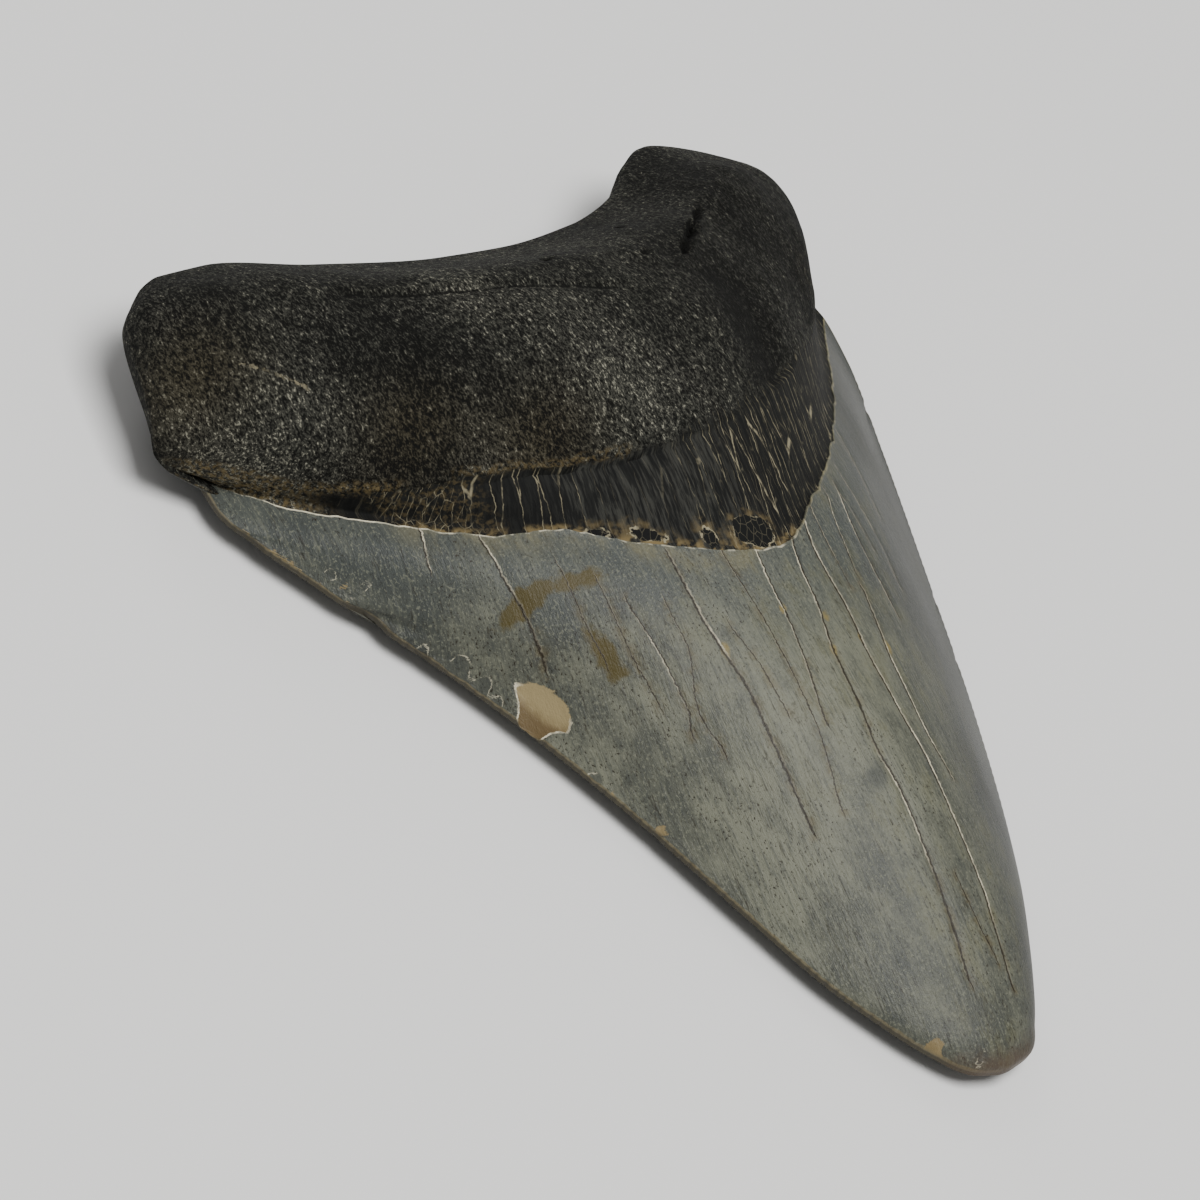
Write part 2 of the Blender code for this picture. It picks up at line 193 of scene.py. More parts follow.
# Scars, in the same terms as the smaller hollows
SCARS = (
    (-28.4, 57.6, 0.25, 0.50, 30.0, 0.12), (-27.0, 55.5, 0.85, 0.28, -4.0, 0.12),
    (-24.5, 49.3, 0.55, 0.60, 118.0, 0.25), (-23.1, 46.8, 1.05, 1.10, 118.0, 0.22),
    (-22.0, 44.8, 0.90, 0.95, 118.0, 0.20), (-21.2, 43.3, 0.55, 0.60, 118.0, 0.10),
    (-17.3, 34.7, 0.70, 0.45, 118.0, 0.15), (-1.9, 2.1, 0.55, 0.25, 40.0, 0.15),
)
# Ochre flakes along the left cutting edge: y, half length
EDGE_FLAKES = (
    (63.4, 0.5), (62.0, 0.35), (61.1, 0.45), (60.1, 0.4), (59.2, 0.3), (57.4, 0.25), (55.3, 0.3),
    (33.0, 0.3),
)
EDGE_FLAKE_FLATNESS = 0.55
# Bites out of the cutting edge: y, half length, depth
LEFT_BITES = ((62.9, 0.9, 0.14), (53.6, 1.3, 0.55), (49.4, 0.5, 0.08), (28.8, 0.5, 0.06))
RIGHT_BITES = ((61.5, 0.7, 0.18), (42.0, 0.6, 0.10), (36.0, 0.6, 0.08))
BITE_REACH = 2.2
BITE_POWER = 3
# Half of the run of rows that the edge's direction is taken over
TANGENT_ROWS = 0.004
# Worn serrations of the cutting edge
SERRATION_PITCH = 0.85
SERRATION_DEPTH = 0.06
SERRATION_REACH = 0.22
SERRATION_FADE_AT_ROOT = (66.0, 64.0)
SERRATION_FADE_AT_TIP = (2.0, 6.0)
# How unevenly they are spaced and worn: size and share of the pitch, and size, least and swing of the wear
SPACING_STRETCH = 2.1
SPACING_SHARE = 0.35
SPACING_START = 5.0
WORN_STRETCH = 7.0
WORN_LEAST = 0.75
WORN_SWING = 0.6

# Cracks of the crown along the grain, in sets whose lines keep apart and stand from left to right: each
# has its width in millimetres and points x, y, tint, with tint from 0 for cream to 1 for brown
CRACKS = (
    (
        (0.07, ((-22.3, 56.5, 0.0), (-22.9, 54.4, 0.3))),
        (0.06, ((-11.9, 43.8, 0.8), (-11.2, 39.2, 0.2), (-10.9, 34.9, 0.9), (-11.2, 33.6, 1.0))),
        (0.10, ((-7.4, 45.4, 0.7), (-7.4, 40.5, 0.5), (-7.2, 38.5, 0.1), (-7.0, 36.8, 0.7),
                (-6.6, 33.7, 1.0), (-6.6, 27.6, 0.9), (-6.6, 22.9, 1.0))),
        (0.08, ((-0.3, 44.0, 0.0), (-0.6, 41.5, 0.0), (-0.8, 38.4, 0.3), (-2.4, 29.4, 0.9))),
        (0.11, ((6.2, 45.5, 0.1), (5.5, 41.6, 0.2), (5.5, 38.4, 0.5), (4.7, 32.0, 0.5), (4.7, 28.0, 0.0),
                (5.1, 24.1, 0.0), (4.9, 18.0, 0.0), (4.5, 12.8, 0.1), (4.1, 11.1, 0.7), (3.5, 6.4, 1.0))),
        (0.09, ((13.7, 48.2, 0.0), (12.8, 45.3, 0.0), (12.4, 42.9, 0.2), (12.0, 36.9, 0.6))),
        (0.05, ((20.4, 54.5, 0.2), (19.2, 47.0, 0.4))),
    ),
    (
        (0.08, ((-19.0, 53.9, 0.0), (-18.9, 50.6, 0.1), (-18.4, 47.7, 0.7), (-18.0, 43.6, 1.0))),
        (0.05, ((-9.4, 42.4, 0.8), (-9.3, 39.2, 0.9), (-10.3, 34.4, 1.0), (-9.8, 30.9, 1.0))),
        (0.05, ((-5.7, 38.7, 0.8), (-5.0, 35.1, 0.9), (-4.8, 31.1, 0.8))),
        (0.10, ((3.9, 44.5, 0.0), (3.1, 41.9, 0.1), (2.5, 38.0, 0.3), (1.4, 34.0, 0.7), (0.9, 28.8, 1.0),
                (0.5, 25.7, 0.8), (0.8, 22.1, 0.1), (0.6, 18.0, 0.2), (0.3, 14.4, 0.9), (-0.5, 7.7, 1.0))),
        (0.07, ((11.4, 47.5, 0.1), (10.4, 45.1, 0.1), (9.8, 42.8, 0.4), (9.2, 40.5, 0.8))),
        (0.05, ((15.8, 50.3, 0.2), (16.1, 43.8, 0.3), (15.5, 40.0, 0.5))),
    ),
    (
        (0.04, ((-15.2, 49.0, 0.7), (-15.0, 44.0, 0.9), (-14.6, 41.0, 0.9))),
        (0.05, ((-3.3, 44.5, 0.6), (-2.9, 38.0, 0.9), (-3.1, 30.4, 0.9), (-4.2, 22.9, 1.0))),
        (0.10, ((8.8, 38.5, 0.7), (7.9, 35.0, 0.5), (7.3, 32.8, 0.2), (7.0, 30.1, 0.0), (6.8, 26.2, 0.0),
                (7.3, 22.8, 0.4))),
        (0.04, ((13.8, 48.5, 0.3), (14.0, 43.0, 0.5))),
    ),
    (
        (0.04, ((-13.2, 46.5, 0.7), (-13.0, 41.0, 0.9), (-12.4, 36.5, 0.9))),
        (0.06, ((2.2, 14.2, 0.9), (2.3, 11.1, 1.0), (2.7, 8.2, 1.0))),
        (0.05, ((8.0, 46.5, 0.2), (7.6, 43.0, 0.5), (7.4, 39.5, 0.8))),
    ),
)
CRACK_FADE = 1.6
CRACK_DEPTH = 0.10
CRACK_HALF_WIDTH = 0.3
CRACK_FULL_WIDTH = 0.1
# Rows below the enamel's edge over which the relief of the crown begins
CROWN_START_ROWS = 0.004

# Ochre stains, rusty spots and a dark smudge of the enamel: x, y, half length, half width, turn in degrees
STAINS = ((-18.0, 47.9, 2.0, 0.95, 10.0), (-14.4, 47.3, 2.1, 0.65, -18.0), (-14.5, 41.6, 2.1, 0.55, 105.0))
SPOTS = (
    (-6.9, 37.3, 0.7, 0.3, 80.0), (1.4, 34.0, 0.6, 0.35, 80.0), (7.6, 33.4, 0.9, 0.3, 78.0),
    (-0.9, 38.6, 0.5, 0.3, 60.0), (2.6, 36.8, 0.5, 0.3, 90.0), (4.9, 34.6, 0.4, 0.25, 70.0),
)
SMUDGES = ((-0.5, 23.8, 1.2, 0.8, 30.0),)
# Dark cells of the band along the enamel: x, y, half length, half width, turn in degrees
CELLS = (
    (-11.4, 49.9, 0.85, 0.42, -33.0), (-8.0, 48.1, 1.45, 0.42, -37.0), (-3.5, 46.0, 0.9, 0.5, -70.0),
    (0.4, 45.2, 1.9, 1.25, -20.0),
)
# Lighter and darker places of the root and of the enamel: x, y, radius, tone. On the root they are
# mostly painted light and shade: lighter on its mounds, darker in its hollows and on its right side
ROOT_TONES_LIGHT_AND_SHADE = (
    (-31.0, 67.0, 4.5, 0.95), (-20.0, 67.0, 4.5, -0.8), (-22.5, 60.0, 3.0, -0.6), (-8.0, 66.0, 8.0, 0.5),
    (-2.0, 58.0, 7.0, 0.35), (24.0, 79.0, 8.0, -0.5), (13.5, 66.5, 3.0, -0.7), (12.5, 61.0, 3.5, -0.9),
    (12.0, 56.0, 3.0, -0.7), (29.0, 69.0, 6.0, -0.7), (-26.0, 80.0, 7.0, 0.1), (-10.0, 78.0, 6.0, 0.2),
    (19.0, 62.0, 4.0, 0.3),
)
# On the enamel: partly its own tone, darker slate at the left, partly painted light in the middle and painted
# shade on the right side and at the tip
ENAMEL_TONES_LIGHT_AND_SHADE = (
    (-30.0, 61.0, 6.0, -0.6), (-24.0, 52.0, 6.0, -0.55), (-19.0, 43.0, 5.0, -0.6), (2.0, 34.0, 8.0, 0.7),
    (-6.0, 30.0, 7.0, 0.5), (-8.0, 20.0, 6.0, 0.2), (-1.0, 18.0, 5.0, 0.1), (20.0, 38.0, 8.0, -1.1),
    (15.0, 22.0, 6.0, -1.2), (30.0, 60.0, 9.0, -1.2), (-14.0, 30.0, 4.0, -0.5), (9.0, 8.0, 5.0, -0.9),
    (0.0, 3.0, 5.0, -0.6), (27.0, 49.0, 7.0, -0.7), (-10.0, 45.0, 6.0, -0.4), (8.0, 46.0, 5.0, -0.3),
)
# Brownish places of the root: x, y, radius, strength
OLIVE_PLACES = (
    (-21.5, 62.5, 4.0, 0.5), (-34.0, 74.0, 4.0, 0.5), (30.5, 68.5, 3.0, 0.9), (-13.0, 57.5, 4.0, 0.5),
)
# What the points store: distances from the nearest of several ovals, and sums of tones, partly painted
# light and shade
OVALS = {"scar": SCARS, "pore": PORES, "stain": STAINS, "spot": SPOTS, "smudge": SMUDGES, "cell": CELLS}
TONES_LIGHT_AND_SHADE = {"root_tone_light_and_shade": ROOT_TONES_LIGHT_AND_SHADE, "enamel_tone_light_and_shade": ENAMEL_TONES_LIGHT_AND_SHADE, "olive": OLIVE_PLACES}
# Distance that stands for nothing near, run of rows that a row's length is taken over, least length of
# all rows, and how far the inner face may sink below the edge
FAR = 9.0
ROW_RUN = 0.01
LEAST_ROW_LENGTH = 50.0
LOWEST_UNDER_EDGE = 0.4
# How strongly the enamel's broken edge shows white: column, strength
ENAMEL_LIP = (
    (-1.00, 0.0), (-0.93, 0.3), (-0.89, 1.0), (-0.78, 1.0), (-0.68, 0.6), (-0.55, 0.35), (-0.36, 0.3),
    (-0.20, 0.2), (0.00, 0.35), (0.15, 0.15), (1.00, 0.1),
)

# The skin is this much smaller than the drawn form, so that rounding never takes it past the solid
FIT = 0.9995

# Grid: columns in the middle of the inner and the outer face and along each edge, bands of rows
# with their end and count, and how many rows the edges have for one of the middle
INNER_COLUMNS = 204
OUTER_COLUMNS = 51
EDGE_COLUMNS = 5
EDGE_STRIP = 0.05
COLUMN_CROWDING = 0.75
TIP_ROWS_START = 0.94
ROW_BANDS = (
    (ROUND_END_ROW, 34),
    (ROOT_EDGE_ROW - STEP_ROWS, 62),
    (ROOT_EDGE_ROW + STEP_ROWS, 2),
    (ENAMEL_ROW - STEP_ROWS, 22),
    (ENAMEL_ROW + STEP_ROWS, 2),
    (TIP_ROWS_START, 150),
    (LAST_ROW, 18),
)
EDGE_ROWS_PER_ROW = 3
# Rows that the outline is measured at, along its whole length and along the crown's flakes
MEASURED_ROWS = 2001
FLAKE_ROWS = 400
# Angle in degrees between two faces from which the line between them is shaded as sharp
SHARP_ANGLE = 60.0

# Stretches with a finish of their own along the band, the root's edge and the enamel, in columns
LEFT_END_COLUMNS = (-0.82, -0.72)
LEFT_LIP_COLUMNS = (-0.95, -0.70)
MIDDLE_LIP_COLUMNS = (-0.54, -0.28)
SOFT_BORDER_COLUMNS = (-0.3, 0.05)
CRUST_COLUMNS = (-0.70, -0.60)
OCHRE_CRUST_COLUMNS = (-0.70, -0.56)
BLACK_COLUMNS = (-0.56, -0.36)
GREY_COLUMNS = (-0.36, -0.08)
STRIP_COLUMNS = (-0.66, 0.05)
CRACKED_COLUMNS = (-0.25, 0.05)
TAN_COLUMNS = (-0.66, -0.12)
OLIVE_COLUMNS = (-0.6, -0.2)
# Columns over which painted shade darkens the enamel's right side
PAINTED_SHADE_COLUMNS = (0.15, 0.70)

# Camera, from the photograph's perspective
CAMERA_LENS = 150.0
CAMERA_AZIMUTH = -60.0
CAMERA_ELEVATION = 40.2
CAMERA_ROLL = 33.6
CAMERA_DISTANCE = 0.385
CAMERA_AIM = (-0.0109, 0.0018, 0.008)

# Lights: name, azimuth, elevation, distance, size, power; and the strength of the light all round
LIGHTS = (("key", -20.0, 76.0, 0.9, 0.5, 11.0), ("back", 170.0, 28.0, 1.0, 0.4, 1.5))
STUDIO_STRENGTH = 0.27
FLOOR_SIZE = 4.0


def curve_through(stops, place):
    """Values on a smooth curve through the stops that never swings past them."""
    table = np.array(stops, float)
    at, values = table[:, 0], table[:, 1:]
    gaps = np.diff(at)
    slopes = np.diff(values, axis=0) / gaps[:, None]
    tangents = np.zeros_like(values)
    tangents[0], tangents[-1] = slopes[0], slopes[-1]
    for i in range(1, len(at) - 1):
        before, after = slopes[i - 1], slopes[i]
        rising = before * after > 0
        near, far = 2 * gaps[i] + gaps[i - 1], gaps[i] + 2 * gaps[i - 1]
        safe_before = np.where(rising, before, 1)
        safe_after = np.where(rising, after, 1)
        tangents[i] = np.where(rising, (near + far) / (near / safe_before + far / safe_after), 0)
    place = np.clip(place, at[0], at[-1])
    span = np.clip(np.searchsorted(at, place, side="right") - 1, 0, len(at) - 2)
    gap = gaps[span][..., None]
    t = (place - at[span])[..., None] / gap
    result = (
        (1 + 2 * t) * (1 - t) ** 2 * values[span]
        + t * (1 - t) ** 2 * gap * tangents[span]
        + t ** 2 * (3 - 2 * t) * values[span + 1]
        + t ** 2 * (t - 1) * gap * tangents[span + 1]
    )
    return result[..., 0] if values.shape[1] == 1 else result


def ease(start, end, place):
    """Smooth step from 0 at the start to 1 at the end."""
    t = np.clip((place - start) / (end - start), 0, 1)
    return t * t * (3 - 2 * t)


def quarter_round(place):
    """Quarter circle from 0 at the start to 1 at the end and beyond."""
    return np.sqrt(1 - (1 - np.clip(place, 0, 1)) ** 2)


def noise_of(points):
    """Noise from -1 to 1 at an array of points."""
    flat = [noise.noise(Vector(point)) for point in points.reshape(-1, 3)]
    return np.array(flat).reshape(points.shape[:-1])


def ragged(stops, column, start):
    """Smooth curve through the stops with small ragged teeth."""
    row = curve_through(stops, column)
    for size, height in EDGE_RAGS:
        points = np.stack((column / size, np.full_like(column, start), np.zeros_like(column)), axis=-1)
        row = row + height * noise_of(points)
    return row


def true_row(column, grid_row, root_edge, enamel_edge):
    """Row of the form where a grid row lies, so that grid rows follow the root's and the enamel's edges."""
    band = (grid_row - ROOT_EDGE_ROW) / (ENAMEL_ROW - ROOT_EDGE_ROW)
    crown = (grid_row - ENAMEL_ROW) / (1 - ENAMEL_ROW)
    on_root = grid_row / ROOT_EDGE_ROW * root_edge
    on_band = root_edge + band * (enamel_edge - root_edge)
    on_crown = enamel_edge + crown * (1 - enamel_edge)
    return np.where(grid_row < ROOT_EDGE_ROW, on_root, np.where(grid_row < ENAMEL_ROW, on_band, on_crown))


def bowed_row(column, row):
    """Place seen from above on a row that runs from side to side through the crest."""
    left, right = curve_through(LEFT_SIDE, row), curve_through(RIGHT_SIDE, row)
    crest = curve_through(CREST_LINE, row)
    power = np.where(column < 0, curve_through(LEFT_BEND, row), curve_through(RIGHT_BEND, row))
    reach = np.hypot(column, BEND_START) ** power - BEND_START ** power
    reach /= np.hypot(1, BEND_START) ** power - BEND_START ** power
    along = column[..., None] * (right - left) / 2
    return crest + along + reach[..., None] * ((right + left) / 2 - crest)


def seen_from_above(column, row):
    """Place seen from above, with the lobed end blended in towards the first row."""
    change = curve_through(LOBED_END, column) - bowed_row(column, np.zeros_like(column))
    fade = np.clip(1 - row / LOBED_END_FADES_BY_ROW, 0, 1) ** 2
    return bowed_row(column, row) + change * fade[..., None]


def side_height(column, row):
    """Height of the line where the two faces meet."""
    height = curve_through(SIDE_HEIGHT, row)
    notch = np.clip(1 - row / NOTCH_HEIGHT_FADES_BY_ROW, 0, 1) ** 2
    return height + (NOTCH_HEIGHT - height) * notch * (1 - column ** 2)


def mound(place, x, y, radius):
    """Bell-shaped weight round a point."""
    return np.exp(-((place[..., 0] - x) ** 2 + (place[..., 1] - y) ** 2) / radius ** 2)


def distance_to_line(place, points):
    """Distance from a run of straight stretches."""
    nearest = np.full(place.shape[:-1], np.inf)
    for start, end in zip(points[:-1], points[1:]):
        start, run = np.array(start), np.subtract(end, start)
        t = np.clip(((place - start) @ run) / (run @ run), 0, 1)
        nearest = np.minimum(nearest, np.linalg.norm(place - start - t[..., None] * run, axis=-1))
    return nearest


def oval_distance(place, x, y, half_length, half_width, turn):
    """Roughly how far outside an oval a place is, below zero inside it."""
    angle = math.radians(turn)
    across, along = place[..., 0] - x, place[..., 1] - y
    first = (across * math.cos(angle) + along * math.sin(angle)) / half_length
    second = (-across * math.sin(angle) + along * math.cos(angle)) / half_width
    return (np.hypot(first, second) - 1) * half_width


def hollow(distance, half_width, depth):
    """Rounded hollow inside an oval."""
    return depth * np.clip(-distance / half_width, 0, 1) ** HOLLOW_POWER


def ragged_oval(place, oval, start):
    """Distance from an oval with an uneven outline."""
    points = np.dstack((place / OVAL_RAG_SIZE, np.full(place.shape[:-1], start)))
    return oval_distance(place, *oval) + OVAL_RAGGEDNESS * oval[3] * noise_of(points)


def nearest_oval(place, ovals):
    """Distance from the nearest of several uneven ovals."""
    nearest = np.full(place.shape[:-1], np.inf)
    for index, oval in enumerate(ovals):
        nearest = np.minimum(nearest, ragged_oval(place, oval[:5], index * OVAL_STARTS_APART))
    return nearest


def edge_flakes():
    """Small ovals centred on the left cutting edge."""
    rows = np.linspace(ENAMEL_ROW, LAST_ROW, FLAKE_ROWS)
    side = curve_through(LEFT_SIDE, rows)
    flakes = []
    for y, half_length in EDGE_FLAKES:
        nearest = np.argmin(np.abs(side[:, 1] - y))
        run = side[nearest + 1] - side[nearest - 1]
        turn = math.degrees(math.atan2(run[1], run[0]))
        flakes.append((*side[nearest], half_length, half_length * EDGE_FLAKE_FLATNESS, turn))
    return flakes


def outline_distance(place, outline):
    """How far outside a closed outline a place is, below zero inside it."""
    closed = outline + outline[:1]
    distance = distance_to_line(place, closed)
    x, y = place[..., 0], place[..., 1]
    inside = np.zeros(x.shape, bool)
    for (x0, y0), (x1, y1) in zip(closed[:-1], closed[1:]):
        if y0 == y1:
            continue
        crosses = (y0 > y) != (y1 > y)
        inside ^= crosses & (x < x0 + (y - y0) * (x1 - x0) / (y1 - y0))
    return np.where(inside, -distance, distance)


def tone_at(place, tones):
    """Sum of bell-shaped lighter and darker places."""
    return sum(tone * mound(place, x, y, radius) for x, y, radius, tone in tones)


def crack_set(place, cracks):
    """Distance across the grain from the nearest crack, its width there and its tint.

    The distance changes its sign from one crack to the next, so it passes zero only at a crack.
    """
    x, y = place[..., 0], place[..., 1]
    best = np.full(x.shape, np.inf)
    signed, width, tint = np.zeros(x.shape), np.zeros(x.shape), np.zeros(x.shape)
    for index, (crack_width, points) in enumerate(cracks):
        stops = sorted((along, across, shade) for across, along, shade in points)
        line = curve_through(stops, y)
        gap = x - line[..., 0]
        first, last = stops[0][0], stops[-1][0]
        inside = ease(first - CRACK_FADE, first, y) * (1 - ease(last, last + CRACK_FADE, y))
        nearer = np.abs(gap) < best
        best = np.where(nearer, np.abs(gap), best)
        signed = np.where(nearer, gap * (-1) ** index, signed)
        width = np.where(nearer, crack_width * inside, width)
        tint = np.where(nearer, line[..., 1], tint)
    return signed, width, tint


def side_lengths(side, rows):
    """Length along one side of the outline from the first row, for each row."""
    points = curve_through(side, rows)
    steps = np.linalg.norm(np.diff(points, axis=0), axis=1)
    return np.concatenate(([0], np.cumsum(steps)))


def edge_wear(column, row):
    """How far bites and serrations wear back the edge at a place, and how far the edge is from it."""
    rows = np.linspace(0, 1, MEASURED_ROWS)
    wear = np.zeros(row.shape)
    width = np.linalg.norm(curve_through(RIGHT_SIDE, row) - curve_through(LEFT_SIDE, row), axis=-1)
    away = (1 - np.abs(column)) * width / 2
    for side, bites, chosen in ((LEFT_SIDE, LEFT_BITES, column < 0), (RIGHT_SIDE, RIGHT_BITES, column > 0)):
        along = np.interp(row, rows, side_lengths(side, rows))
        side_y = curve_through(side, row)[..., 1]
        blank = np.zeros_like(along)
        worn = noise_of(np.stack((along / WORN_STRETCH, blank, blank), axis=-1))
        spacing = noise_of(np.stack((along / SPACING_STRETCH, blank + SPACING_START, blank), axis=-1))
        lobes = np.abs(np.sin(math.pi * (along / SERRATION_PITCH + SPACING_SHARE * spacing)))
        teeth = SERRATION_DEPTH * (1 - lobes) * (WORN_LEAST + WORN_SWING * worn)
        teeth *= ease(*SERRATION_FADE_AT_ROOT, side_y) * ease(*SERRATION_FADE_AT_TIP, side_y)
        wear += np.where(chosen, teeth * np.exp(-(away / SERRATION_REACH) ** 2), 0)
        for y, half_length, depth in bites:
            bite = depth * np.exp(-np.abs((side_y - y) / half_length) ** BITE_POWER)
            wear += np.where(chosen & (row > ENAMEL_ROW), bite * np.exp(-(away / BITE_REACH) ** 2), 0)
    return wear, away


def worn_place(column, row):
    """Place seen from above with the cutting edge worn back, square to the edge."""
    wear, away = edge_wear(column, row)
    left = column[..., None] < 0
    before, after = np.maximum(row - TANGENT_ROWS, 0), np.minimum(row + TANGENT_ROWS, 1)
    run = np.where(
        left,
        curve_through(LEFT_SIDE, after) - curve_through(LEFT_SIDE, before),
        curve_through(RIGHT_SIDE, before) - curve_through(RIGHT_SIDE, after),
    )
    inward = np.stack((-run[..., 1], run[..., 0]), axis=-1)
    length = np.linalg.norm(inward, axis=-1)
    return seen_from_above(column, row) + inward * (wear / length)[..., None], wear, away


def root_relief(place, column, row, height, root_edge):
    """Mounds, hollows, crease, pores and lumps of the root's inner face."""
    relief = np.zeros(row.shape)
    for size, amount in LUMPS:
        points = np.dstack((place[..., 0], place[..., 1] * LUMP_STRETCH, height)) / size
        relief += amount * noise_of(points)
    for x, y, radius, amount in ROOT_MOUNDS:
        relief += amount * mound(place, x, y, radius)
    relief -= CREASE_DEPTH * np.exp(-(distance_to_line(place, CREASE) / CREASE_WIDTH) ** 2)
    rim_height, rim_place, rim_width = PORE_RIM
    for index, (x, y, half_length, half_width, turn, depth) in enumerate(PORES):
        distance = ragged_oval(place, (x, y, half_length, half_width, turn), index + PORES_START)
        relief -= hollow(distance, half_width, depth)
        relief += rim_height * np.exp(-((distance - rim_place) / rim_width) ** 2)
    below_edge = ease(*RELIEF_EDGE_ROWS, row - root_edge)
    side = 1 - np.abs(column) ** RELIEF_SIDE_POWER
    end = ease(0.0, RELIEF_END_ROW, row)
    return relief * (1 - below_edge) * side * end


def dark_band_drop(column, row, root_edge, enamel_edge):
    """How far the band between the root and the enamel lies below both."""
    t = np.clip((row - root_edge) / (enamel_edge - root_edge), 0, 1)
    enamel_step = curve_through(ENAMEL_STEP, column)
    soft_start = np.maximum(ease(0.0, SOFT_STEP_SHARE, t), 1 - ease(*SOFT_EDGE_COLUMNS, column))
    depth = curve_through(ROOT_STEP, column) * (1 - t) * soft_start + enamel_step * t
    inside = (row > root_edge) & (row < enamel_edge)
    return np.where(inside, depth, 0.0) * np.clip((1 - np.abs(column)) / BAND_SIDE_COLUMNS, 0, 1)


def crown_relief(place, on_crown, sets):
    """Chips, scars and cracks of the crown."""
    inside = np.clip(-outline_distance(place, CHIP_OUTLINE) / CHIP_ROUNDING, 0, 1)
    relief = -CHIP_DEPTH * inside ** CHIP_POWER
    for ovals in (SMALL_CHIPS, SCARS):
        for index, oval in enumerate(ovals):
            relief -= hollow(ragged_oval(place, oval[:5], index * OVAL_STARTS_APART), oval[3], oval[5])
    for signed, width, _ in sets:
        strength = np.minimum(width / CRACK_FULL_WIDTH, 1)
        relief -= CRACK_DEPTH * strength * np.exp(-(signed / CRACK_HALF_WIDTH) ** 2)
    return relief * on_crown


def shared_facts(column, row, wear, away, outer):
    """What the finish of both faces depends on."""
    share = np.full(row.shape, outer)
    return {"from_edge": away, "edge_wear": wear, "outer": share, "column": column, "row": row}


def inner_face(column, grid_row):
    """Swollen inner face, which lies upwards, and what its finish depends on."""
    root_edge = ragged(ROOT_EDGE, column, ROOT_EDGE_START)
    enamel_edge = ragged(ENAMEL_EDGE, column, ENAMEL_EDGE_START)
    row = true_row(column, grid_row, root_edge, enamel_edge)
    place, wear, away = worn_place(column, row)
    low = side_height(column, row) + CUTTING_EDGE_THICKNESS / 2
    crest, lobe = curve_through(CREST_HEIGHT, row), curve_through(LOBE_HEIGHT, row)
    high = lobe + (crest - lobe) * np.exp(-(column / CREST_HALF_WIDTH) ** 2)
    fullness, slope = curve_through(SECTION_FULLNESS, row), curve_through(SECTION_SLOPE, row)
    across = np.clip(1 - np.abs(column) ** fullness, 0, 1) ** slope
    round_end = quarter_round(row / ROUND_END_ROW) * quarter_round((1 - row) / (1 - ROUND_TIP_ROW))
    height = low + (high - low) * across * round_end
    sets = [crack_set(place, cracks) for cracks in CRACKS]
    on_crown = ease(0.0, CROWN_START_ROWS, row - enamel_edge)
    height += root_relief(place, column, row, height, root_edge)
    height += crown_relief(place, on_crown, sets)
    height -= dark_band_drop(column, row, root_edge, enamel_edge)
    run = curve_through(CREST_LINE, row) - curve_through(CREST_LINE, row + ROW_RUN)
    row_length = np.maximum(np.linalg.norm(run, axis=-1) / ROW_RUN, LEAST_ROW_LENGTH)
    crescent = np.maximum(
        ragged_oval(place, CRESCENT[0], CRESCENT_START), -oval_distance(place, *CRESCENT[1]))
    facts = {
        **shared_facts(column, row, wear, away, 0.0),
        "past_root": (row - root_edge) * row_length,
        "past_enamel": (row - enamel_edge) * row_length,
        "chip": outline_distance(place, CHIP_OUTLINE),
        "small_chip": np.minimum(nearest_oval(place, (*SMALL_CHIPS, *edge_flakes())), crescent),
        "crease": distance_to_line(place, CREASE),
        "pale_line": distance_to_line(place, PALE_LINE),
        "lip": curve_through(ENAMEL_LIP, column),
        **{name: nearest_oval(place, ovals) for name, ovals in OVALS.items()},
        **{name: tone_at(place, tones) for name, tones in TONES_LIGHT_AND_SHADE.items()},
        **{f"crack_{index}": np.stack(one, axis=-1) for index, one in enumerate(sets)},
    }
    return np.dstack((place, np.maximum(height, low - LOWEST_UNDER_EDGE))), facts


def outer_face(column, row):
    """Nearly flat outer face, which the tooth lies on, and what its finish depends on."""
    place, wear, away = worn_place(column, row)
    side = side_height(column, row) - CUTTING_EDGE_THICKNESS / 2
    past_flat = np.clip((np.abs(column) - FLAT_HALF_WIDTH) / (1 - FLAT_HALF_WIDTH), 0, 1)
    crown = ease(*OUTER_CROWN_ROWS, row)
    on_root = 1 - np.sqrt(1 - past_flat ** ROOT_RISE_POWER)
    rise_across = on_root * (1 - crown) + past_flat ** CROWN_RISE_POWER * crown
    to_tip = np.clip((row - FLAT_LAST_ROW) / (LAST_ROW - FLAT_LAST_ROW), 0, 1) ** 2
    to_end = 1 - quarter_round(row / FLAT_FIRST_ROW)
    rise = 1 - (1 - rise_across) * (1 - to_tip) * (1 - to_end)
    far, none = np.full(row.shape, FAR), np.zeros(row.shape)
    past_edge = (row - OUTER_ENAMEL_ROW + OUTER_ENAMEL_DIP * (1 - column ** 2)) * TOOTH_LENGTH
    no_crack = np.stack((far, none, none), axis=-1)
    facts = {
        **shared_facts(column, row, wear, away, 1.0),
        **dict.fromkeys(("past_root", "past_enamel"), past_edge),
        **dict.fromkeys(("chip", "small_chip", "crease", "pale_line", *OVALS), far),
        **dict.fromkeys(("lip", *TONES_LIGHT_AND_SHADE), none),
        **{f"crack_{index}": no_crack for index in range(len(CRACKS))},
    }
    return np.dstack((place, side * rise)), facts


def grid_rows():
    """Grid rows from the end of the root to the tip."""
    rows = [0.0]
    for end, count in ROW_BANDS:
        start = rows[-1]
        rows += [start + (end - start) * (i + 1) / count for i in range(count)]
    return np.array(rows)


def finer(values, times):
    """The same values with more of them evenly between each two."""
    steps = np.arange((len(values) - 1) * times + 1) / times
    return np.interp(steps, np.arange(len(values)), values)


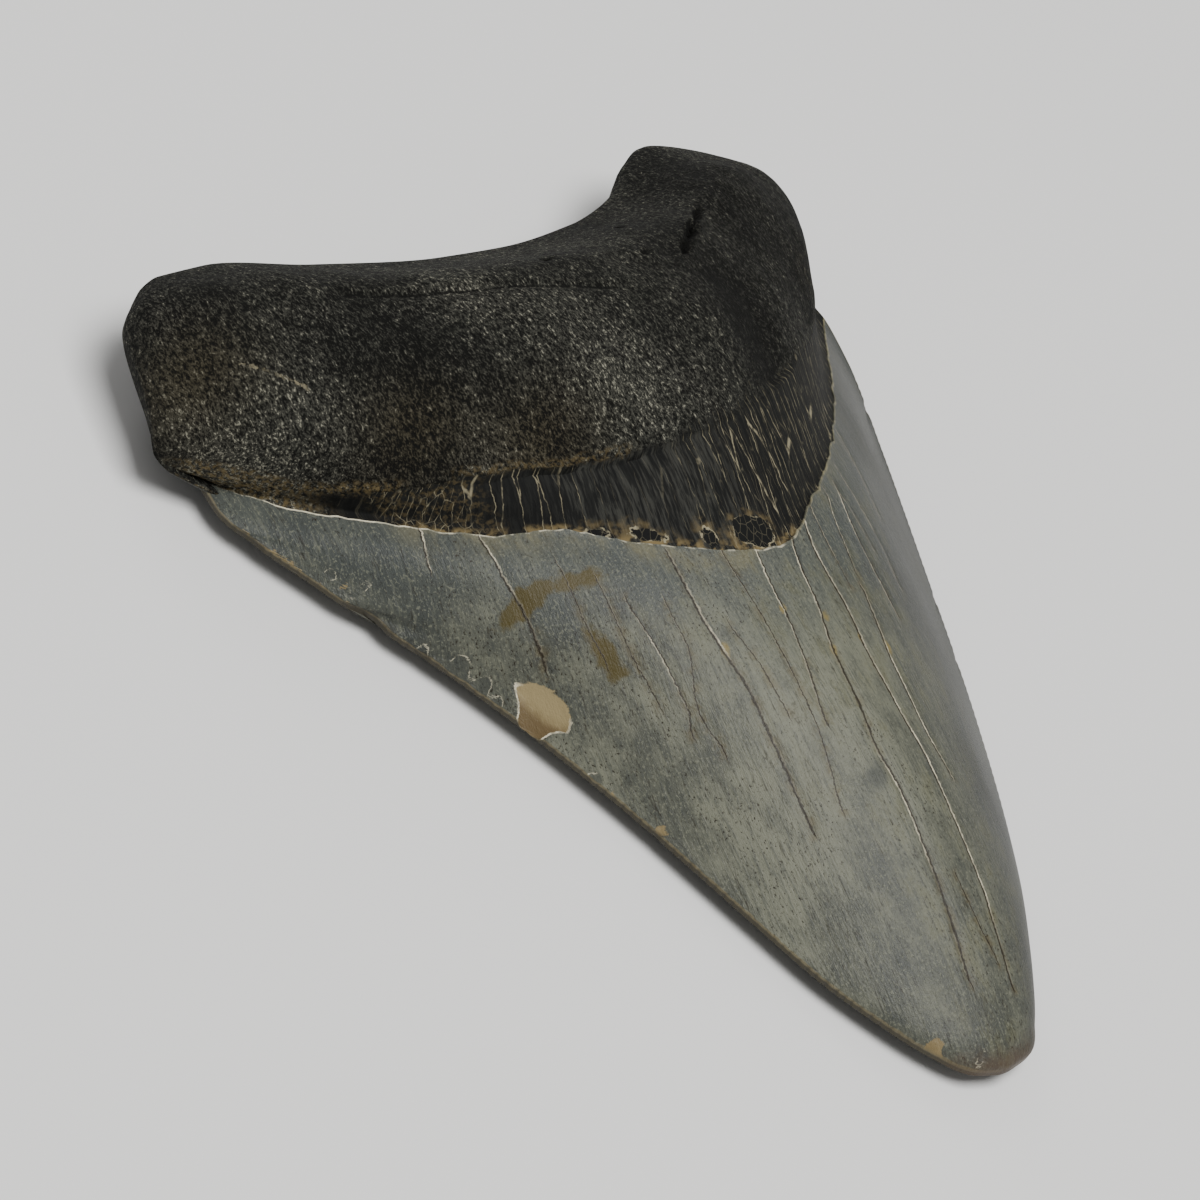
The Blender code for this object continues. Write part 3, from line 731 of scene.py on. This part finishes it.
def crowded(count, reach):
    """Columns across a face that stand closer together towards its edges."""
    even = np.linspace(-1, 1, count + 1)
    columns = COLUMN_CROWDING * np.sin(even * math.pi / 2) + (1 - COLUMN_CROWDING) * even
    return columns * reach


class Skin:
    """Points, faces and facts of the closed surface while it is put together."""

    def __init__(self):
        self.points = []
        self.faces = []
        self.facts = {}
        self.count = 0

    def add_grid(self, face, columns, rows):
        """Mould a grid into part of a face and return the numbers of its points."""
        column, row = np.meshgrid(columns, rows)
        points, facts = face(column, row)
        numbers = self.count + np.arange(column.size).reshape(column.shape)
        self.points.append(points.reshape(-1, 3))
        for name, values in facts.items():
            width = values.shape[2:]
            self.facts.setdefault(name, []).append(values.reshape(-1, *width))
        corners = (numbers[:-1, :-1], numbers[:-1, 1:], numbers[1:, 1:], numbers[1:, :-1])
        self.faces += np.stack(corners, axis=-1).reshape(-1, 4).tolist()
        self.count += column.size
        return numbers

    def stitch(self, one, other):
        """Join two lines of points, of which one may have several steps for each of the other."""
        one, other = list(one), list(other)
        cells = math.gcd(len(one) - 1, len(other) - 1)
        a, b = (len(one) - 1) // cells, (len(other) - 1) // cells
        for i in range(cells):
            self.faces.append(one[i * a:(i + 1) * a + 1] + other[i * b:(i + 1) * b + 1][::-1])


def build_face(skin, face, middle_count, rows, fine_rows):
    """Left edge, middle and right edge of one face, stitched together."""
    inset = 1 - EDGE_STRIP
    step = EDGE_STRIP / EDGE_COLUMNS
    middle = crowded(middle_count, inset)
    left = np.linspace(-1, -inset - step, EDGE_COLUMNS)
    right = np.linspace(inset + step, 1, EDGE_COLUMNS)
    grids = (
        skin.add_grid(face, left, fine_rows),
        skin.add_grid(face, middle, rows),
        skin.add_grid(face, right, fine_rows),
    )
    skin.stitch(grids[0][:, -1], grids[1][:, 0])
    skin.stitch(grids[1][:, -1], grids[2][:, 0])
    return grids


def build_skin():
    """The whole closed surface: both faces joined along the outline and at both ends."""
    skin = Skin()
    rows = grid_rows()
    fine_rows = finer(rows, EDGE_ROWS_PER_ROW)
    inner = build_face(skin, inner_face, INNER_COLUMNS, rows, fine_rows)
    outer = build_face(skin, outer_face, OUTER_COLUMNS, rows, fine_rows)
    skin.stitch(inner[0][:, 0], outer[0][:, 0])
    skin.stitch(inner[2][:, -1], outer[2][:, -1])
    for end in (0, -1):
        inner_line = [grid[end] for grid in inner]
        outer_line = [grid[end] for grid in outer]
        for one, other in zip(inner_line, outer_line):
            skin.stitch(one, other)
        for gap in (0, 1):
            skin.faces.append([
                inner_line[gap][-1], inner_line[gap + 1][0],
                outer_line[gap + 1][0], outer_line[gap][-1],
            ])
    return skin


def build_tooth():
    """Mesh object of the tooth with its facts stored on its points."""
    skin = build_skin()
    points = np.concatenate(skin.points) - np.array((MIDDLE_X, MIDDLE_Y, 0.0))
    mesh = bpy.data.meshes.new("tooth_skin")
    mesh.from_pydata((points * FIT * MM).tolist(), [], skin.faces)
    for name, values in skin.facts.items():
        values = np.concatenate(values)
        kind, field = ("FLOAT", "value") if values.ndim == 1 else ("FLOAT_VECTOR", "vector")
        stored = mesh.attributes.new(name, kind, "POINT")
        stored.data.foreach_set(field, values.astype(np.float32).ravel())
    work = bmesh.new()
    work.from_mesh(mesh)
    bmesh.ops.recalc_face_normals(work, faces=work.faces)
    work.to_mesh(mesh)
    work.free()
    mesh.shade_smooth()
    mesh.set_sharp_from_angle(angle=math.radians(SHARP_ANGLE))
    tooth = bpy.data.objects.new("tooth_skin", mesh)
    bpy.context.collection.objects.link(tooth)
    return tooth


class Value:
    """What a node gives at each point of the surface; sums and products of values add nodes."""

    def __init__(self, shading, socket):
        self.shading = shading
        self.socket = socket

    def __add__(self, other):
        return self.shading.math("ADD", self, other)

    def __sub__(self, other):
        return self.shading.math("SUBTRACT", self, other)

    def __rsub__(self, other):
        return self.shading.math("SUBTRACT", other, self)

    def __mul__(self, other):
        return self.shading.math("MULTIPLY", self, other)

    def __truediv__(self, other):
        return self.shading.math("DIVIDE", self, other)

    def __abs__(self):
        return self.shading.math("ABSOLUTE", self)

    def at_least(self, other):
        return self.shading.math("MAXIMUM", self, other)

    def fade(self, start, end):
        """Smooth step from 0 at the start to 1 at the end."""
        inputs = {"Value": self, "From Min": start, "From Max": end}
        node = self.shading.node("ShaderNodeMapRange", inputs, interpolation_type="SMOOTHSTEP")
        return Value(self.shading, node.outputs[0])

    def window(self, start, end, soft):
        """1 between start and end, fading to 0 outside over the soft distance."""
        return self.fade(start - soft, start) * self.fade(end + soft, end)

    def shifted(self, noise, amount):
        """The value moved up and down by a noise, by half the amount each way."""
        return self + (noise * amount - amount / 2)


class Shading:
    """Short ways to add nodes to one material, and the noises that its parts share."""

    def __init__(self, name):
        self.material = bpy.data.materials.new(name)
        self.material.use_nodes = True
        self.nodes = self.material.node_tree.nodes
        self.links = self.material.node_tree.links
        self.known = {}
        coordinates = Value(self, self.nodes.new("ShaderNodeTexCoord").outputs["Object"])
        self.place = self.times(coordinates, (1 / MM, 1 / MM, 1 / MM))
        self.broad = self.noise(self.times(self.place, (1.0, 0.5, 1.0)), 0.13, 3.0)
        self.patches = self.noise(self.place, 0.9, 4.0)
        self.jags = self.noise(self.place, 2.4, 4.0, 0.6)
        self.dashes = self.noise(self.times(self.place, (1.0, 0.7, 1.0)), 1.3, 3.0)
        self.broken = self.dashes.fade(0.42, 0.58)

    def put(self, socket, value):
        """Link a socket to a value, or set it to a number or colour."""
        if isinstance(value, Value):
            self.links.new(value.socket, socket)
        else:
            socket.default_value = value

    def node(self, kind, inputs, **settings):
        """Add a node, with its settings and then its inputs."""
        node = self.nodes.new(kind)
        for name, setting in settings.items():
            setattr(node, name, setting)
        for key, value in inputs.items():
            self.put(node.inputs[key], value)
        return node

    def math(self, operation, *values):
        node = self.node("ShaderNodeMath", dict(enumerate(values)), operation=operation)
        return Value(self, node.outputs[0])

    def vector(self, operation, *values):
        node = self.node("ShaderNodeVectorMath", dict(enumerate(values)), operation=operation)
        return Value(self, node.outputs[0])

    def times(self, place, factors):
        """A place with each of its coordinates multiplied by its own factor."""
        return self.vector("MULTIPLY", place, factors)

    def plus(self, place, shift):
        """A place moved by the same amount in every direction."""
        return self.vector("ADD", place, shift)

    def noise(self, place, scale, detail=3.0, roughness=0.55, distortion=0.0):
        inputs = {"Vector": place, "Scale": scale, "Detail": detail}
        inputs.update({"Roughness": roughness, "Distortion": distortion})
        return Value(self, self.node("ShaderNodeTexNoise", inputs).outputs["Fac"])

    def net(self, place, factors):
        """Distance from the lines of a net of cells seen from above."""
        inputs = {"Vector": self.times(place, factors), "Scale": 1.0}
        node = self.node("ShaderNodeTexVoronoi", inputs, voronoi_dimensions="2D", feature="DISTANCE_TO_EDGE")
        return Value(self, node.outputs["Distance"])

    def mix(self, factor, first, second, kind="RGBA"):
        """Blend two colours, or two numbers where the kind is FLOAT."""
        node = self.node("ShaderNodeMix", {"Factor": factor, "A": first, "B": second}, data_type=kind)
        return Value(self, node.outputs["Result"])

    def stored(self, name):
        """Node that reads what is stored on the points."""
        if name not in self.known:
            self.known[name] = self.node("ShaderNodeAttribute", {}, attribute_name=name)
        return self.known[name]

    def fact(self, name):
        """A number stored on the points."""
        return Value(self, self.stored(name).outputs["Fac"])

    def facts(self, name):
        """Three numbers stored on the points."""
        vector = Value(self, self.stored(name).outputs["Vector"])
        return [Value(self, part) for part in self.node("ShaderNodeSeparateXYZ", {0: vector}).outputs]


def colour(red, green, blue):
    return (red, green, blue, 1.0)


ROOT_BLACK = colour(0.0030, 0.0030, 0.0022)
ROOT_GREY = colour(0.046, 0.0455, 0.037)
# Pale flecks of the root: painted glints
ROOT_PAINTED_GLINT = colour(0.27, 0.26, 0.20)
ROOT_OLIVE = colour(0.052, 0.039, 0.015)
OCHRE = colour(0.185, 0.137, 0.060)
BAND_BLACK = colour(0.0035, 0.0038, 0.0034)
BAND_GREY = colour(0.031, 0.031, 0.026)
CREAM = colour(0.30, 0.265, 0.17)
CREAM_WHITE = colour(0.62, 0.57, 0.42)
CRACK_BROWN = colour(0.015, 0.011, 0.006)
RUST = colour(0.085, 0.064, 0.024)
ENAMEL_GREY = colour(0.076, 0.079, 0.062)
ENAMEL_LIGHT = colour(0.150, 0.152, 0.112)
ENAMEL_SLATE = colour(0.042, 0.0460, 0.041)
ENAMEL_BLUE = colour(0.060, 0.069, 0.065)
ENAMEL_OLIVE = colour(0.082, 0.080, 0.044)
STAIN_OCHRE = colour(0.064, 0.050, 0.014)
# Painted shade of the enamel's right side and tip
ENAMEL_PAINTED_SHADE = colour(0.018, 0.020, 0.016)
TAN_TINT = colour(0.17, 0.150, 0.080)
SPOT_YELLOW = colour(0.20, 0.155, 0.055)
CHIP_TAN = colour(0.27, 0.215, 0.11)
CHIP_BROWN = colour(0.12, 0.085, 0.040)
RIM_TAN = colour(0.16, 0.130, 0.070)
# Painted shade on the cutting edge's wall and in its notches
RIM_PAINTED_SHADE = colour(0.035, 0.032, 0.024)
TIP_RED = colour(0.080, 0.048, 0.03)
FLOOR_PALE = colour(0.78, 0.775, 0.76)
GLOSS = 0.18
ROOT_ROUGHNESS = 0.95
BAND_ROUGHNESS = 0.8
FLOOR_ROUGHNESS = 0.9


def root_finish(s):
    """Near-black fibrous root with glints, light and shade painted in: colour and height in millimetres."""
    fibres = s.times(s.place, (1.0, 0.45, 0.7))
    grain = s.noise(fibres, 2.8, 3.0, 0.7)
    fine = s.noise(fibres, 6.5, 2.0, 0.7, 0.5)
    # Stored root tone: painted light on the mounds, painted shade in the hollows and on the right side
    texture_light_and_shade = grain * 0.4 + fine * 0.6 + s.fact("root_tone_light_and_shade") * 0.07 + (s.broad * 0.20 - 0.12)
    base = s.mix(texture_light_and_shade.fade(0.42, 0.59), ROOT_BLACK, ROOT_GREY)
    # Pale flecks: painted glints
    base = s.mix(texture_light_and_shade.fade(0.57, 0.66) * 0.9, base, ROOT_PAINTED_GLINT)
    base = s.mix(s.fact("olive") * texture_light_and_shade.fade(0.38, 0.56) * 0.8, base, ROOT_OLIVE)
    # Dark line along the crease: painted shade
    crease = s.fact("crease").shifted(s.jags, 0.5).fade(0.20, 0.08)
    base = s.mix(crease * 0.9, base, ROOT_BLACK)
    pale = s.fact("pale_line").shifted(s.jags, 1.0).fade(0.12, 0.03) * (s.broken * 0.7 + 0.3)
    return s.mix(pale * 0.6, base, CREAM), grain * 0.32 + fine * 0.20


def band_cracks(s, small_net):
    """Fine pale cracks of the dark band: long ones along the grain and a small net at its left."""
    column = s.fact("column")
    warped = s.plus(s.place, s.patches * 0.5)
    right = column.fade(*CRACKED_COLUMNS)
    shown = right * 0.75 + (column.window(*BLACK_COLUMNS, 0.04) * 0.6 + 0.1)
    long_lines = s.net(warped, (0.90, 0.085, 0.0)).fade(0.032, 0.008) * shown
    fine_lines = s.net(warped, (1.9, 0.24, 0.0)).fade(0.05, 0.01) * right * 0.2
    small_lines = small_net.fade(0.045, 0.01) * column.window(*CRUST_COLUMNS, 0.04) * 0.75
    return long_lines.at_least(fine_lines).at_least(small_lines) * (s.broken * 0.8 + 0.2)


def add_cells(s, base, small_net):
    """Dark cells along the enamel, each with a cream rim and fine pale lines."""
    cell = s.fact("cell").shifted(s.jags, 0.6)
    inside = s.mix(small_net.fade(0.05, 0.01) * 0.22, BAND_BLACK, CREAM)
    base = s.mix(cell.fade(0.7, 0.1) * s.patches.fade(0.4, 0.6) * 0.4, base, OCHRE)
    base = s.mix(cell.fade(0.02, -0.05), base, inside)
    return s.mix(cell.window(-0.02, 0.04, 0.05) * s.broken * 0.8, base, CREAM)


def band_finish(s):
    """Dark band with fine cracks and ochre strips: colour and height in millimetres."""
    column = s.fact("column")
    streaks = s.noise(s.times(s.place, (4.2, 0.32, 0.8)), 1.0, 4.0, 0.65)
    grey = column.window(*GREY_COLUMNS, 0.08)
    base = s.mix(streaks.fade(0.40, 0.64) * (grey * 0.75 + 0.2), BAND_BLACK, BAND_GREY)
    dark_lines = s.noise(s.times(s.place, (1.6, 0.14, 0.5)), 1.0, 2.0).fade(0.44, 0.38)
    base = s.mix(dark_lines * grey * 0.8, base, BAND_BLACK)
    strip = s.fact("past_enamel").fade(-1.3, -0.35) * column.window(*STRIP_COLUMNS, 0.06)
    base = s.mix(strip * s.patches.fade(0.42, 0.58) * 0.8, base, OCHRE)
    crust = column.window(*OCHRE_CRUST_COLUMNS, 0.05) * s.jags.fade(0.45, 0.65)
    base = s.mix(crust * 0.25, base, OCHRE)
    small_net = s.net(s.plus(s.place, s.patches * 0.6), (1.9, 1.2, 0.0))
    base = s.mix(band_cracks(s, small_net) * 0.85, base, CREAM)
    return add_cells(s, base, small_net), streaks * 0.08


def crack_lines(s):
    """How strongly cracks show pale, how strongly dark, and how near one is."""
    wander = s.jags * 0.34 - 0.17
    dashes = s.dashes.fade(0.36, 0.58)
    pale, dark, near = 0.0, 0.0, 0.0
    for index in range(len(CRACKS)):
        signed, width, tint = s.facts(f"crack_{index}")
        shown = width.fade(0.005, 0.04)
        gap = signed + wander
        reach = width.at_least(0.03)
        beside = abs(gap - reach) / (reach * 0.7)
        bright = (1.0 - tint).at_least(dashes * 0.15)
        pale = (beside.fade(1.3, 0.4) * bright * shown * (dashes * 0.6 + 0.4)).at_least(pale)
        # Dark line in the crack: partly its brown fill, partly painted shade in its groove
        dark = ((abs(gap) / reach).fade(1.6, 0.6) * shown).at_least(dark)
        near = (abs(gap).fade(0.7, 0.0) * tint * shown).at_least(near)
    return pale, dark, near


def enamel_tones_light_and_shade(s, mottle, streaks, speckle):
    """Grey enamel with its broad tones, grain and light specks, and painted light, shade and glints."""
    column, marked_tone_light_and_shade = s.fact("column"), s.fact("enamel_tone_light_and_shade")
    # The stored tone is partly the enamel's own, partly painted light and shade
    tone = (mottle + s.broad) * 0.5 + marked_tone_light_and_shade * 0.17
    base = s.mix(tone.fade(0.44, 0.64), ENAMEL_GREY, ENAMEL_LIGHT)
    base = s.mix(tone.fade(0.48, 0.30), base, ENAMEL_SLATE)
    near_band = (s.fact("past_enamel") + s.broad * 8.0).fade(15.0, 6.0)
    base = s.mix(near_band * 0.55, base, ENAMEL_BLUE)
    base = s.mix(mottle.fade(0.48, 0.66) * column.fade(*OLIVE_COLUMNS) * 0.55, base, ENAMEL_OLIVE)
    # Darkest stored tones, on the right side and at the tip: painted shade
    base = s.mix(marked_tone_light_and_shade.fade(-0.35, -1.25) * 0.72, base, ENAMEL_PAINTED_SHADE)
    base = s.mix(streaks.fade(0.50, 0.64) * 0.5, base, ENAMEL_SLATE)
    base = s.mix(streaks.fade(0.46, 0.34) * 0.35, base, ENAMEL_LIGHT)
    # Light specks: partly light dots of the enamel, partly painted glints
    base = s.mix(speckle.fade(0.55, 0.66) * 0.7, base, ENAMEL_LIGHT)
    # Painted shade towards the right side
    return s.mix(column.fade(*PAINTED_SHADE_COLUMNS) * 0.6, base, ENAMEL_PAINTED_SHADE)


def add_enamel_marks(s, base, mottle, speckle):
    """Hairline cracks, pits, stains, smudge and rusty spots, laid over the enamel."""
    hairs = s.noise(s.times(s.place, (0.9, 0.055, 0.1)), 1.0, 3.0, 0.6)
    base = s.mix(abs(hairs - 0.5).fade(0.009, 0.002) * s.broken * 0.55, base, CRACK_BROWN)
    pitted = s.broad.fade(0.44, 0.6) * 0.6 + 0.35
    base = s.mix(speckle.fade(0.41, 0.32) * pitted, base, CRACK_BROWN)
    tan = s.fact("past_enamel").fade(3.0, 0.2) * s.fact("column").window(*TAN_COLUMNS, 0.12)
    base = s.mix(tan * mottle.fade(0.35, 0.7) * 0.5, base, TAN_TINT)
    stain = s.fact("stain").shifted(s.patches, 1.3).fade(0.2, -0.2)
    base = s.mix(stain * (mottle * 0.4 + 0.7), base, STAIN_OCHRE)
    smudge = s.fact("smudge").shifted(s.patches, 1.3).fade(0.5, -0.4)
    base = s.mix(smudge * 0.6, base, ENAMEL_SLATE)
    spot = s.fact("spot").shifted(s.patches, 0.65).fade(0.1, -0.15)
    return s.mix(spot * 0.8, base, SPOT_YELLOW)


def enamel_finish(s):
    """Satin grey enamel with grain, cracks and stains: colour, roughness and height."""
    mottle = s.noise(s.times(s.place, (1.0, 0.5, 1.0)), 0.55, 5.0, 0.65)
    streaks = s.noise(s.times(s.place, (5.0, 0.24, 1.0)), 1.0, 3.0, 0.7)
    speckle = s.noise(s.times(s.place, (6.0, 3.4, 4.0)), 1.0, 2.0, 0.7)
    base = add_enamel_marks(s, enamel_tones_light_and_shade(s, mottle, streaks, speckle), mottle, speckle)
    pale, dark, near = crack_lines(s)
    base = s.mix(near * s.patches.fade(0.42, 0.62) * 0.5, base, RUST)
    base = s.mix(dark * 0.9, base, CRACK_BROWN)
    base = s.mix(pale * 0.8, base, CREAM_WHITE)
    return base, s.broad * 0.2 + 0.24 + speckle * 0.15, streaks * 0.05 + speckle * 0.045


def add_chips(s, base):
    """Chips and scars of the crown, with painted shade in the scars, laid over the enamel."""
    chip = s.fact("chip").shifted(s.jags, 0.3)
    inward = s.fact("from_edge").shifted(s.dashes, 1.0)
    base = s.mix(chip.fade(0.03, -0.03), base, s.mix(inward.fade(1.6, 3.4), CHIP_BROWN, CHIP_TAN))
    jagged_side = chip.window(-0.05, 0.05, 0.05) * inward.fade(3.8, 3.2)
    base = s.mix(jagged_side * (s.broken * 0.6 + 0.4), base, CREAM_WHITE)
    small_chip = s.fact("small_chip").shifted(s.jags, 0.5)
    base = s.mix(small_chip.fade(0.03, -0.05), base, s.mix(s.patches, CHIP_BROWN, CHIP_TAN))
    scar = s.fact("scar").shifted(s.jags, 0.22)
    # Darker inside the scars: painted shade in their hollows
    base = s.mix(scar.fade(0.03, -0.1) * 0.5, base, ENAMEL_SLATE)
    return s.mix(scar.window(-0.01, 0.015, 0.03) * s.broken * 0.5, base, CREAM_WHITE)


def add_edges(s, base):
    """The enamel's broken upper edge, worn cutting edge with painted shade and tip, laid over the enamel."""
    past_enamel, from_edge = s.fact("past_enamel"), s.fact("from_edge")
    shown = (s.fact("lip") + s.broken * 0.5).fade(0.3, 1.3)
    base = s.mix(past_enamel.shifted(s.jags, 0.16).window(-0.03, 0.10, 0.07) * shown, base, CREAM_WHITE)
    right_edge = past_enamel.window(-0.3, 0.05, 0.12) * s.fact("column").fade(0.0, 0.1)
    base = s.mix(right_edge * (s.broken * 0.5 + 0.3), base, TAN_TINT)
    base = s.mix(from_edge.shifted(s.patches, 0.4).fade(0.20, 0.04) * 0.6, base, RIM_TAN)
    # Painted shade on the cutting edge's lower wall and the outer face, turned away from the light
    base = s.mix(s.fact("outer").window(0.35, 0.95, 0.3) * 0.75, base, RIM_PAINTED_SHADE)
    # Painted shade in the notches that bites and serrations wear into the edge
    notches = from_edge.fade(0.5, 0.2) * s.fact("edge_wear").fade(0.012, 0.05)
    base = s.mix(notches * 0.45, base, RIM_PAINTED_SHADE)
    return s.mix(s.fact("row").shifted(s.patches, 0.03).fade(0.965, 0.998) * 0.55, base, TIP_RED)


def add_root_edge(s, root):
    """Ochre lip along the root's lower edge and painted shade in the pores, laid over the root."""
    column, past_root = s.fact("column"), s.fact("past_root")
    left = past_root.window(-0.7, 3.0, 0.9) * column.window(*LEFT_LIP_COLUMNS, 0.06)
    middle = past_root.window(-0.6, 0.02, 0.6) * column.window(*MIDDLE_LIP_COLUMNS, 0.06)
    root = s.mix((left + middle * 0.6) * s.jags.fade(0.42, 0.62) * 0.55, root, OCHRE)
    # Pores darkened: painted shade inside the holes
    return s.mix(s.fact("pore").shifted(s.jags, 0.5).fade(0.12, -0.05) * 0.95, root, ROOT_BLACK)


def band_share(s):
    """How far the finish is the band's: its border is crisp at the left and blurred at the right."""
    column = s.fact("column")
    soft = column.fade(*SOFT_BORDER_COLUMNS)
    blur = s.noise(s.times(s.place, (1.0, 0.4, 1.0)), 1.5, 4.0, 0.65)
    blur = (blur * 4.0 - 2.0) * (soft * 0.9 + 0.1)
    share = (s.fact("past_root") + blur).fade(soft * -1.4 - 0.1, soft * 0.4 + 0.1)
    return share * (column + s.jags * 0.1).fade(*LEFT_END_COLUMNS)


def tooth_material():
    """Finish of the whole tooth: root, dark band and enamel with ragged borders."""
    s = Shading("fossil_stone")
    root, root_height = root_finish(s)
    band, band_height = band_finish(s)
    enamel, enamel_rough, enamel_height = enamel_finish(s)
    enamel = add_edges(s, add_chips(s, enamel))
    on_band = band_share(s)
    past_enamel = s.fact("past_enamel")
    on_enamel = past_enamel.shifted(s.jags, 0.1).fade(-0.14, -0.04)
    base = s.mix(on_enamel, s.mix(on_band, add_root_edge(s, root), band), enamel)
    rough = s.mix(on_band, ROOT_ROUGHNESS, BAND_ROUGHNESS, "FLOAT")
    rough = s.mix(on_enamel, rough, enamel_rough, "FLOAT")
    height = s.mix(s.fact("past_root").fade(-0.3, 0.2), root_height, band_height, "FLOAT")
    height = s.mix(past_enamel.fade(-0.14, -0.04), height, enamel_height, "FLOAT")
    bump = s.node("ShaderNodeBump", {"Strength": 1.0, "Distance": MM, "Height": height})
    shader = s.nodes["Principled BSDF"]
    s.put(shader.inputs["Base Color"], base)
    s.put(shader.inputs["Roughness"], rough)
    s.put(shader.inputs["Normal"], Value(s, bump.outputs["Normal"]))
    shader.inputs["Specular IOR Level"].default_value = GLOSS
    return s.material


def add_floor():
    """Plain pale floor."""
    material = bpy.data.materials.new("pale_floor")
    material.use_nodes = True
    shader = material.node_tree.nodes["Principled BSDF"]
    shader.inputs["Base Color"].default_value = FLOOR_PALE
    shader.inputs["Roughness"].default_value = FLOOR_ROUGHNESS
    bpy.ops.mesh.primitive_plane_add(size=FLOOR_SIZE, location=(0, 0, 0))
    floor = bpy.context.object
    floor.name = "floor"
    floor.data.materials.append(material)


def direction(azimuth, elevation):
    """Unit vector from the tooth towards a place around and above it, in degrees."""
    turn, lift = math.radians(azimuth), math.radians(elevation)
    return Vector((math.sin(turn) * math.cos(lift), -math.cos(turn) * math.cos(lift), math.sin(lift)))


def add_light(name, azimuth, elevation, distance, size, power):
    """Square soft light aimed at the middle of the tooth."""
    data = bpy.data.lights.new(name, "AREA")
    data.size = size
    data.energy = power
    light = bpy.data.objects.new(name, data)
    away = direction(azimuth, elevation)
    light.location = away * distance
    light.rotation_euler = away.to_track_quat("Z", "Y").to_euler()
    bpy.context.collection.objects.link(light)


def add_studio():
    """Plain soft studio light."""
    world = bpy.data.worlds.new("studio")
    world.use_nodes = True
    background = world.node_tree.nodes["Background"]
    background.inputs["Color"].default_value = colour(1.0, 1.0, 1.0)
    background.inputs["Strength"].default_value = STUDIO_STRENGTH
    bpy.context.scene.world = world
    for light in LIGHTS:
        add_light(*light)


def add_camera():
    """Camera at the photograph's viewing angle."""
    data = bpy.data.cameras.new("camera")
    data.lens = CAMERA_LENS
    camera = bpy.data.objects.new("camera", data)
    turn = math.radians(CAMERA_AZIMUTH)
    back = direction(CAMERA_AZIMUTH, CAMERA_ELEVATION)
    right = Vector((math.cos(turn), math.sin(turn), 0))
    right = Matrix.Rotation(math.radians(CAMERA_ROLL), 3, back) @ right
    pose = Matrix((right, back.cross(right), back)).transposed().to_4x4()
    pose.translation = Vector(CAMERA_AIM) + back * CAMERA_DISTANCE
    camera.matrix_world = pose
    bpy.context.collection.objects.link(camera)
    bpy.context.scene.camera = camera


tooth = build_tooth()
tooth.data.materials.append(tooth_material())
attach(tooth, "root")
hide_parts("tooth")
add_floor()
add_studio()
add_camera()
